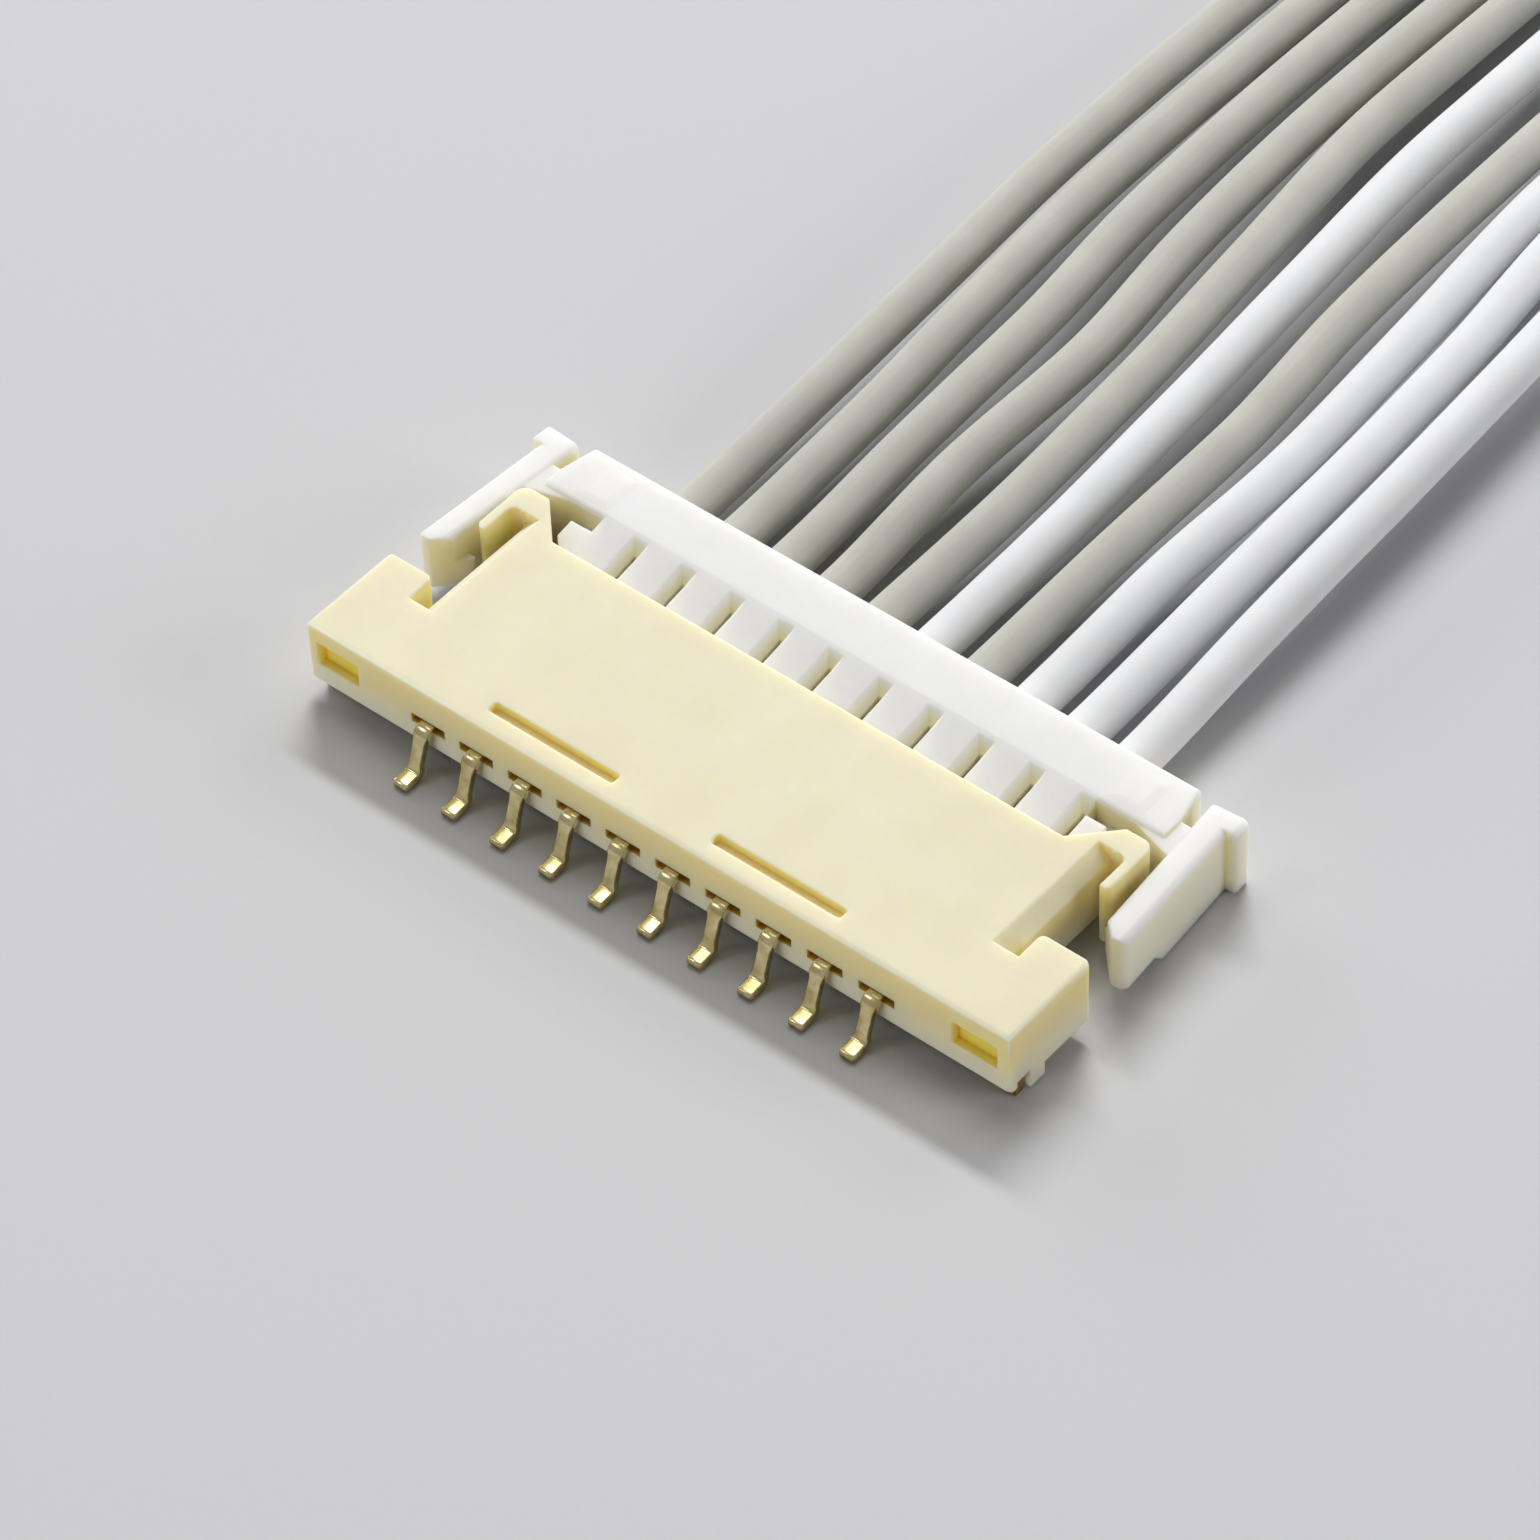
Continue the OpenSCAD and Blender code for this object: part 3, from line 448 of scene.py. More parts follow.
class Shaders:
    """Builds the shared node groups once, and a material for each finish."""

    def __init__(self) -> None:
        """Build the four groups that the materials share."""
        self.mould = self._mould_group()
        self.stance = self._stance_group()
        self.recess = self._recess_group()
        self.rolled = self._rolled_group()

    @staticmethod
    def _mould_group() -> NodeTree:
        """Make the group for a moulded skin: wide clouds, and the fine grain that the mould leaves.

        Returns:
            The group, with outputs Clouds and Height.
        """
        group = Group("moulded_skin", {"Vector": None, "Grain": 9000.0}, ["Clouds", "Height"])
        spot, grain = group.given["Vector"], group.given["Grain"]
        clouds = group.patches(spot, grain, share=0.09, contrast=2.2)
        group.put_out(Clouds=clouds, Height=group.noise(spot, grain, FINE_DETAIL))
        return group.tree

    @staticmethod
    def _recess_group() -> NodeTree:
        """Make the group that finds slots and inner corners for painted shade: one minus the share of open
        sky over a point.

        Returns:
            The group, with two outputs of painted shade: one for shallow places and one for narrow ones.
        """
        group = Group("recess_shade", {"Reach": 0.0005, "Gain": 1.0}, ["Slots", "Depths"])
        sky = group.add("ShaderNodeAmbientOcclusion", {"Distance": group.given["Reach"]})
        sky.samples, sky.only_local = SKY_RAYS, True
        shut = group.maths("SUBTRACT", 1.0, sky.outputs["AO"])
        gained = group.maths("MULTIPLY", shut, group.given["Gain"], clamp=True)
        group.put_out(Slots=group.step(gained, *SLOT_STEP), Depths=group.step(shut, *DEPTH_STEP))
        return group.tree

    @staticmethod
    def _stance_group() -> NodeTree:
        """Make the group that finds where shade and a highlight are painted: upright faces above a height,
        and rims at the front.

        Returns:
            The group, with an output for the painted shade of upright faces and one for the painted highlight
            on front rims.
        """
        inputs = {"Normal": None, "Place": None, "Low": 0.0, "High": 0.001}
        group = Group("face_stance", inputs, ["Upright", "Rim"])
        facing = group.add("ShaderNodeSeparateXYZ", {"Vector": group.given["Normal"]}).outputs
        spot = group.add("ShaderNodeSeparateXYZ", {"Vector": group.given["Place"]}).outputs
        # Painted shade on upright faces above a height, and a painted highlight on rounded rims that face the
        # front
        level = group.step(group.maths("ABSOLUTE", facing["Z"]), *LEVEL_STEP)
        height = group.step(spot["Z"], group.given["Low"], group.given["High"])
        upright = group.maths("MULTIPLY", group.maths("SUBTRACT", 1.0, level), height)
        tilted, flat = group.step(facing["Z"], *TILT_STEP), group.step(facing["Z"], *FLAT_STEP)
        turned = group.maths("SUBTRACT", tilted, flat, clamp=True)
        front = group.step(group.maths("MULTIPLY", facing["Y"], -1.0), *FRONT_STEP)
        group.put_out(Upright=upright, Rim=group.maths("MULTIPLY", turned, front))
        return group.tree

    @staticmethod
    def _rolled_group() -> NodeTree:
        """Make the group for rolled strip: streaks drawn out along one axis, and rubbed patches.

        Returns:
            The group, with outputs Rub and Height.
        """
        group = Group("rolled_strip", {"Vector": None, "Streak": 16000.0}, ["Rub", "Height"])
        spot, streak = group.given["Vector"], group.given["Streak"]
        drawn = group.add("ShaderNodeMapping", {"Vector": spot})
        drawn.inputs["Scale"].default_value = (1.0, 0.12, 0.3)
        streaks = group.noise(drawn.outputs["Vector"], streak, FINE_DETAIL)
        group.put_out(Rub=group.patches(spot, streak, share=0.22, contrast=2.4), Height=streaks)
        return group.tree

    def _grained(self, skin: Skin, grain: float) -> NodeOutputs:
        """Place the moulded skin in a material, its grain in millimetres, and return its outputs."""
        return skin.placed(self.mould, {"Vector": skin.coords["Object"], "Grain": 1.0 / (grain * MM)})

    @cache
    def plastic(self, finish: PlasticFinish) -> Material:
        """Make a moulded plastic: clouded skin, painted shade on upright faces, a painted highlight on front
        rims, painted shade in corners, slots and hollows, fine grain.

        Args:
            finish: The plastic's values.

        Returns:
            The material, made once.
        """
        skin = Skin(finish.name)
        mould = self._grained(skin, finish.grain)
        slots = skin.placed(self.recess, {"Reach": finish.recess_reach * MM, "Gain": finish.recess_gain})
        stance = skin.placed(self.stance, {
            "Normal": skin.coords["Normal"],
            "Place": skin.coords["Object"],
            "Low": finish.side_low * MM,
            "High": finish.side_high * MM,
        })
        # The hollow mark says how much painted shade a face gets at the bottom of a hollow
        marked = skin.tree.nodes.new("ShaderNodeAttribute")
        marked.attribute_name = HOLLOW_MARK
        mark = marked.outputs["Fac"]
        # Painted shade: the hollow colour up to a mark of 1, and the dark colour past it and in unmarked
        # narrow places
        sunk = skin.maths("MULTIPLY", mark, 1.0, clamp=True)
        black = skin.maths("SUBTRACT", mark, 1.0, clamp=True)
        narrow = skin.maths("MAXIMUM", black, skin.maths("MULTIPLY", slots["Depths"], finish.slit))
        # Painted shade on upright faces, a painted highlight on front rims, and painted shade in corners,
        # marked hollows and narrow slots
        colour = skin.mix(mould["Clouds"], finish.skin, finish.cloud)
        for share, taken in (
            (stance["Upright"], finish.side),
            (stance["Rim"], finish.rim),
            (slots["Slots"], finish.deep),
            (sunk, finish.hollow),
            (narrow, finish.dark),
        ):
            colour = skin.mix(share, colour, taken)
        skin.surface(colour, mould["Clouds"], finish.roughness)
        skin.settle({
            "Subsurface Weight": finish.glow,
            "Subsurface Radius": finish.tint,
            "Subsurface Scale": finish.scatter * MM,
            "IOR": 1.5,
            "Specular IOR Level": 0.25,
        })
        eased = skin.add("ShaderNodeBevel", {"Radius": finish.soften * MM})
        eased.samples = EDGE_RAYS
        skin.feed(eased.outputs["Normal"], skin.bump(mould["Height"], *MOULD_BUMP).inputs["Normal"])
        return skin.material

    @cache
    def metal(self, finish: MetalFinish) -> Material:
        """Make a metal strip: rolling streaks, rubbed patches.

        Args:
            finish: The metal's values.

        Returns:
            The material, made once.
        """
        skin = Skin(finish.name)
        inputs = {"Vector": skin.coords["Object"], "Streak": 1.0 / (finish.streak * MM)}
        strip = skin.placed(self.rolled, inputs)
        colour = skin.mix(strip["Rub"], finish.bright, finish.dull)
        skin.surface(colour, strip["Rub"], finish.roughness)
        skin.settle({"Metallic": 1.0})
        skin.bump(strip["Height"], finish.dent, STRIP_DEPTH)
        return skin.material

    @cache
    def jacket(self, finish: JacketFinish) -> Material:
        """Make a wire's insulation: matte plastic, lightly rubbed.

        Args:
            finish: The insulation's values.

        Returns:
            The material, made once.
        """
        skin = Skin(finish.name)
        mould = self._grained(skin, grain=0.10)
        colour = skin.mix(mould["Clouds"], finish.skin, finish.dust)
        skin.surface(colour, mould["Clouds"], finish.roughness)
        skin.settle({
            "Subsurface Weight": 0.8,
            "Subsurface Radius": (1.0, 0.9, 0.8),
            "Subsurface Scale": 0.45 * MM,
            "Specular IOR Level": 0.3,
        })
        skin.bump(mould["Height"], *JACKET_BUMP)
        return skin.material

    def paper(self, colour: Colour) -> Material:
        """Make the table's paper, with a fine grain.

        Args:
            colour: Colour of the paper.

        Returns:
            The material.
        """
        skin = Skin("table_paper")
        mould = self._grained(skin, grain=0.16)
        shade = 0.975
        darker = tuple(v * shade for v in colour)
        skin.feed(skin.mix(mould["Height"], darker, colour), skin.shader.inputs["Base Color"])
        skin.settle({"Roughness": 0.8, "Specular IOR Level": 0.2})
        skin.bump(mould["Height"], *PAPER_BUMP)
        return skin.material


def tube_mesh(name: str, grid: np.ndarray, turned: bool = False) -> Mesh:
    """Close rings of points into smooth shaded tubes with flat ends.

    Point j, k of a tube is joined to j + 1, k and to j, k + 1, and the last point of a ring to its first.
    The first and last ring are closed by one face each.

    Args:
        name: Name of the mesh.
        grid: Points, as tubes by rings by points by three, in metres.
        turned: Whether the rings run the other way round, which turns the faces over.

    Returns:
        The mesh.
    """
    rows = np.arange(grid[..., 0].size).reshape(grid.shape[:3])
    after = np.roll(rows, -1, axis=2)
    walls = np.stack([rows[:, :-1], after[:, :-1], after[:, 1:], rows[:, 1:]], axis=-1).reshape(-1, 4)
    ends = np.concatenate([rows[:, 0, ::-1], rows[:, -1]])
    if turned:
        walls, ends = walls[:, [0, 3, 2, 1]], ends[:, ::-1]
    mesh = bpy.data.meshes.new(name)
    mesh.from_pydata(grid.reshape(-1, 3).tolist(), [], [*walls.tolist(), *ends.tolist()])
    mesh.polygons.foreach_set("use_smooth", np.ones(len(mesh.polygons), dtype=bool))
    mesh.update()
    return mesh


def read_all(items: Items, name: str, kind: type, each: int = 1) -> np.ndarray:
    """Read one property of all of a mesh's items.

    Args:
        items: The items, such as a mesh's loops.
        name: Name of the property.
        kind: Kind of number.
        each: Numbers in one item.

    Returns:
        The numbers in one row.
    """
    values = np.zeros(each * len(items), dtype=kind)
    items.foreach_get(name, values)
    return values


def place(name: str, data: ID, body: Body, material: Material) -> Object:
    """Put a new piece into the scene on its body.

    Args:
        name: Name of the piece.
        data: Its mesh or curve.
        body: The body that it rides on.
        material: Its material.

    Returns:
        The piece.
    """
    piece = bpy.data.objects.new(name, data)
    bpy.context.scene.collection.objects.link(piece)
    data.materials.clear()
    data.materials.append(material)
    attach(piece, body.value)
    return piece


def dress_node(node: str, material: Material) -> Object:
    """Give a CAD node its material.

    Args:
        node: Name of the node.
        material: The material.

    Returns:
        The node.
    """
    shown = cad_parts[node]
    shown.data.materials.clear()
    shown.data.materials.append(material)
    return shown


def roomy_edges(
    starts: np.ndarray, ends: np.ndarray, ids: np.ndarray, sharp: np.ndarray, room: float
) -> np.ndarray:
    """Find the sharp edges that have room for a bevel.

    Five points on each sharp edge are measured against every other edge. A sharp edge is cramped when one
    that shares no corner with it passes closer than the room asked for, unless it lies ahead along the same
    line. A blunt edge counts only where it runs alongside.

    Args:
        starts: First end of each edge.
        ends: Second end of each edge.
        ids: The two corner numbers of each edge.
        sharp: True for each sharp edge.
        room: Least distance, in the same unit.

    Returns:
        True for each sharp edge with enough room.
    """
    run = ends - starts
    length = np.linalg.norm(run, axis=1)
    way = run / np.maximum(length, 1e-12)[:, None]
    share = np.array([0.02, 0.25, 0.5, 0.75, 0.98])
    same_way, at_once = 0.7, 40
    free = sharp.copy()
    which = np.flatnonzero(sharp)
    for block in np.array_split(which, max(1, len(which) // at_once)):
        points = starts[block, None] + share[None, :, None] * run[block, None]
        rel = points[:, :, None] - starts[None, None]
        along = np.clip(np.einsum("spek,ek->spe", rel, way), 0.0, length)
        apart = rel - along[..., None] * way
        gap = np.linalg.norm(apart, axis=-1)
        ahead = np.abs(np.einsum("spek,sk->spe", apart, way[block])) > same_way * gap
        joined = (ids[block, None, :, None] == ids[None, :, None, :]).any(axis=(2, 3))
        counts = (sharp | (np.abs(way[block] @ way.T) > same_way)) & ~joined
        near = (gap < room) & ~ahead & counts[:, None, :]
        free[block] &= ~near.any(axis=(1, 2))
        free &= ~near.any(axis=(0, 1))
    return free


def softened_copy(node: str, name: str, edge: float) -> Mesh:
    """Copy a CAD node's mesh, with flat faces joined and roomy outer edges marked for a bevel.

    Args:
        node: Name of the CAD node.
        name: Name of the new mesh.
        edge: Width of the bevel, in millimetres.

    Returns:
        The copy, with bevel weights on its edges.
    """
    flat, creases, corner = (math.radians(v) for v in (0.3, 1.0, 30.0))
    room = 2.4 * edge
    work = bmesh.new()
    work.from_mesh(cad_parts[node].data)
    bmesh.ops.remove_doubles(work, verts=work.verts, dist=WELD)
    bmesh.ops.dissolve_limit(work, angle_limit=flat, verts=work.verts, edges=work.edges, delimit={"NORMAL"})
    work.verts.index_update()
    weights = work.edges.layers.float.new("bevel_weight_edge")
    creased = [e for e in work.edges if len(e.link_faces) == 2 and e.calc_face_angle(0.0) > creases]
    starts, ends = (np.array([e.verts[side].co for e in creased]) / MM for side in (0, 1))
    ids = np.array([[v.index for v in e.verts] for e in creased])
    sharp = np.array([e.calc_face_angle(0.0) > corner for e in creased])
    convex = np.array([e.is_convex for e in creased])
    chosen = roomy_edges(starts, ends, ids, sharp, room) & convex
    for e, keep in zip(creased, chosen):
        e[weights] = float(keep)
    log.info("%s: %d of %d sharp edges softened", name, chosen.sum(), sharp.sum())
    mesh = bpy.data.meshes.new(name)
    work.to_mesh(mesh)
    work.free()
    return mesh


def mark_hollows(mesh: Mesh, front: float, hollows: tuple[Hollow, ...]) -> None:
    """Note on each face's corners how deep in a hollow they lie, which sets how much painted shade they get.

    A face belongs to a hollow when all its corners are in the hollow's box. A corner's mark is the hollow's
    share times its distance from the rim along the inward direction over the hollow's depth, with that
    quotient kept from 0 to 1.

    Args:
        mesh: The housing's mesh.
        front: The header's front face, in metres.
        hollows: The housing's hollows.
    """
    spots = read_all(mesh.vertices, "co", np.float32, 3).reshape(-1, 3)
    owned = read_all(mesh.loops, "vertex_index", np.int32)
    starts = read_all(mesh.polygons, "loop_start", np.int32)
    sizes = read_all(mesh.polygons, "loop_total", np.int32)
    at = spots[owned] / MM - np.array([0.0, front / MM, 0.0])
    marks = np.zeros(len(owned), dtype=np.float32)
    for hollow in hollows:
        seen = at * np.where(at[:, :1] < 0, [-1.0, 1.0, 1.0], 1.0) if hollow.both else at
        inside = (np.minimum.reduceat(seen, starts) >= np.array(hollow.low)).all(axis=1)
        inside &= (np.maximum.reduceat(seen, starts) <= np.array(hollow.high)).all(axis=1)
        depth = (seen - np.array(hollow.rim)) @ np.array(hollow.inward) / hollow.deep
        marks = np.where(np.repeat(inside, sizes), hollow.share * np.clip(depth, 0.0, 1.0), marks)
        log.info("hollow at %s: %d faces", hollow.rim, inside.sum())
    mesh.attributes.new(HOLLOW_MARK, "FLOAT", "CORNER").data.foreach_set("value", marks.astype(np.float32))


def row_places() -> list[float]:
    """List the ten contacts' places along the row, in millimetres."""
    return [(i - (WAYS - 1) / 2) * PITCH for i in range(WAYS)]


INTO_TOP, INTO_FRONT = (0.0, 0.0, -1.0), (0.0, 1.0, 0.0)
TOP_RIM, FRONT_RIM, LEAD_RIM = (0.0, 0.0, 1.95), (0.0, 0.0, 0.0), (0.0, -0.1, 0.0)
RAMP_RISE, RAMP_RUN = 0.25, 1.34
RAMP = math.atan2(RAMP_RISE, RAMP_RUN)
INTO_RAMP, RAMP_RIM = (0.0, math.sin(RAMP), -math.cos(RAMP)), (0.0, 4.80, 1.46)
# Grooves in the top, pockets in the front, slots by the hooks, notches by the end blocks, slots of the leads,
# all with painted shade
HEADER_HOLLOWS = (
    Hollow((1.20, 0.20, 1.70), (4.42, 0.95, 1.96), TOP_RIM, INTO_TOP, 0.20, 0.26, True),
    Hollow((7.42, -0.01, 0.94), (8.52, 0.24, 1.56), FRONT_RIM, INTO_FRONT, 0.22, 1.0, True),
    Hollow((7.34, 4.10, 0.0), (7.73, 5.60, 1.96), TOP_RIM, INTO_TOP, 0.80, 0.28, True),
    Hollow((7.34, 1.77, 0.0), (7.64, 2.52, 1.96), TOP_RIM, INTO_TOP, 0.80, 0.28, True),
    *(
        Hollow((x - 0.43, -0.01, 0.91), (x + 0.43, 0.37, 1.16), LEAD_RIM, INTO_FRONT, 0.10, 1.55)
        for x in row_places()
    ),
)
# Windows in the sloping shelf, with painted shade
PLUG_HOLLOWS = tuple(
    Hollow((x + 0.18, 4.50, 1.15), (x + 0.63, 6.10, 1.75), RAMP_RIM, INTO_RAMP, 0.14, 1.0)
    for x in row_places()
)


@dataclass
class Moulding:
    """A moulded housing: the CAD node's own shape with its sharp edges softened.

    Args:
        node: The CAD node that it stands for.
        name: Name of the piece.
        body: The body that it rides on.
        finish: Its plastic.
        slot: The record's slot; not used.
        hollows: The hollows that get painted shade.
        edge: Width of the softened edges, in millimetres.
        segments: Faces across a softened edge.
    """

    node: str
    name: str
    body: Body
    finish: PlasticFinish
    slot: str
    hollows: tuple[Hollow, ...]
    edge: float = 0.03
    segments: int = 2

    def build(self, shaders: Shaders) -> list[Object]:
        """Make the housing, in place of its CAD node.

        Args:
            shaders: Maker of the materials.

        Returns:
            The housing alone.
        """
        mesh = softened_copy(self.node, self.name, self.edge)
        mark_hollows(mesh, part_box("header_housing")[0].y, self.hollows)
        piece = place(self.name, mesh, self.body, shaders.plastic(self.finish))
        bevel = piece.modifiers.new("soft_edges", "BEVEL")
        bevel.width = self.edge * MM
        bevel.segments = self.segments
        bevel.limit_method = "WEIGHT"
        bevel.use_clamp_overlap = False
        bevel.loop_slide = False
        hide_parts(self.node)
        return [piece]


@dataclass
class HeaderContacts:
    """The ten pins with their gull-wing leads: a rounded strip carried along a bent path.

    All sizes are in millimetres. Distances along Y are counted from the header's front face.
    """

    thick: float = 0.18
    lead_wide: float = 0.36
    waist_wide: float = 0.30
    pin_wide: float = 0.30
    pin_tip: float = 3.60
    tip_bevel: float = 0.18
    tip_run: float = 0.20
    slot_deep: float = 0.35
    shoulder: float = 0.05
    root: float = 0.03
    slope: float = 70.0
    bend: float = 0.17
    foot: float = 0.36
    toe: float = 6.0
    rounding: float = 0.045
    height: float = 1.035
    waist_low: float = 0.22
    waist_ease: float = 0.12
    bend_steps: int = 13
    foot_steps: int = 7
    sides: int = 24

    def path(self) -> tuple[np.ndarray, np.ndarray]:
        """Work out the middle line in Y and Z, from the pin's tip to the end of the foot.

        The line is straight, turns down on an arc, runs straight down the slope, turns back on an arc of the
        same radius and ends with the foot, whose toe points a little down. Its direction is kept as an angle,
        0 towards the front and positive downwards.

        Returns:
            Points as an array of Y and Z, and the angle at each in radians.
        """
        slope, toe = math.radians(self.slope), math.radians(self.toe)
        arcs = self.bend * (1 + math.cos(toe) - 2 * math.cos(slope))
        riser = (self.height - self.thick / 2 - arcs - self.foot * math.sin(toe)) / math.sin(slope)
        tip_end, neck = self.pin_tip - self.tip_run, self.slot_deep + self.shoulder
        stations, counts = (self.pin_tip, tip_end, neck, self.slot_deep, -self.root), (5, 4, 3, 4)
        pin = np.concatenate([np.linspace(a, b, n)[:-1] for a, b, n in zip(stations, stations[1:], counts)])
        turn = np.linspace(0.0, slope, self.bend_steps)
        steps = np.linspace(0.0, riser, self.bend_steps)[1:-1]
        level = np.linspace(0.0, self.foot, self.foot_steps)[1:]
        first = np.stack([
            -self.root - self.bend * np.sin(turn), self.height - self.bend * (1 - np.cos(turn))
        ], axis=-1)
        fall = np.array([-math.cos(slope), -math.sin(slope)])
        down, elbow = first[-1] + steps[:, None] * fall, first[-1] + riser * fall
        back = np.linspace(slope, toe, self.bend_steps)
        second = elbow + np.stack([
            self.bend * (np.sin(back) - math.sin(slope)), -self.bend * (np.cos(back) - math.cos(slope))
        ], axis=-1)
        end = second[-1] + level[:, None] * np.array([-math.cos(toe), -math.sin(toe)])
        points = np.concatenate([
            np.stack([pin, np.full_like(pin, self.height)], axis=-1), first, down, second, end
        ])
        angles = np.concatenate([
            np.zeros(len(pin)), turn, np.full(len(down), slope), back, np.full(len(end), toe)
        ])
        return points, angles

    def strip(self, x: float, front: float, name: str) -> Mesh:
        """Carry a rounded rectangle along the path.

        A ring's point is the path's point, plus X times half the width and the path's normal times half the
        thickness, each drawn in by the rounding, plus the rounding's own circle. The width narrows to the
        pin's bevelled tip, and both ends are drawn in along a quarter of a circle.

        Args:
            x: Place along the row, in metres.
            front: The header's front face, in metres.
            name: Name of the mesh.

        Returns:
            The closed strip.
        """
        points, angles = self.path()
        run = np.concatenate([[0.0], np.cumsum(np.linalg.norm(np.diff(points, axis=0), axis=1))])
        left = run[-1] - run
        y, z = points[:, 0], points[:, 1]
        width = np.interp(
            y,
            [self.slot_deep, self.slot_deep + self.shoulder, self.pin_tip - self.tip_bevel, self.pin_tip],
            [self.lead_wide, self.pin_wide, self.pin_wide, self.pin_wide - self.tip_bevel],
        )
        inner = np.minimum(z - self.waist_low, self.height - self.waist_ease - z)
        waist = np.clip(inner / self.waist_ease, 0.0, 1.0)
        width = width - (self.lead_wide - self.waist_wide) * waist * (y < 0)
        inset = np.clip(1.0 - np.minimum(left, run) / self.rounding, 0.0, 1.0)
        shrink = self.rounding * (1.0 - np.sqrt(1.0 - inset**2))
        around = np.linspace(0.0, 2 * math.pi, self.sides, endpoint=False) + math.pi / self.sides
        side, top = np.sign(np.cos(around)), np.sign(np.sin(around))
        half_w = (width / 2 - self.rounding - 0.5 * shrink)[:, None]
        half_t = (self.thick / 2 - self.rounding - 0.5 * shrink)[:, None]
        across = half_w * side + self.rounding * np.cos(around)
        normal = half_t * top + self.rounding * np.sin(around)
        up_y, up_z = -np.sin(angles)[:, None], np.cos(angles)[:, None]
        grid = np.stack([
            x / MM + across, front / MM + y[:, None] + up_y * normal, z[:, None] + up_z * normal
        ], axis=-1)
        return tube_mesh(name, grid[None] * MM)

    def build(self, shaders: Shaders) -> list[Object]:
        """Make the ten contacts, each in place of its CAD node.

        Args:
            shaders: Maker of the materials.

        Returns:
            The contacts.
        """
        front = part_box("header_housing")[0].y
        made = []
        for i in range(1, WAYS + 1):
            low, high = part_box(f"header_contact_{i}")
            mesh = self.strip((low.x + high.x) / 2, front, f"contact_strip_{i}")
            piece = place(f"contact_strip_{i}", mesh, Body.HEADER, shaders.metal(LEAD))
            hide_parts(f"header_contact_{i}")
            made.append(piece)
        return made


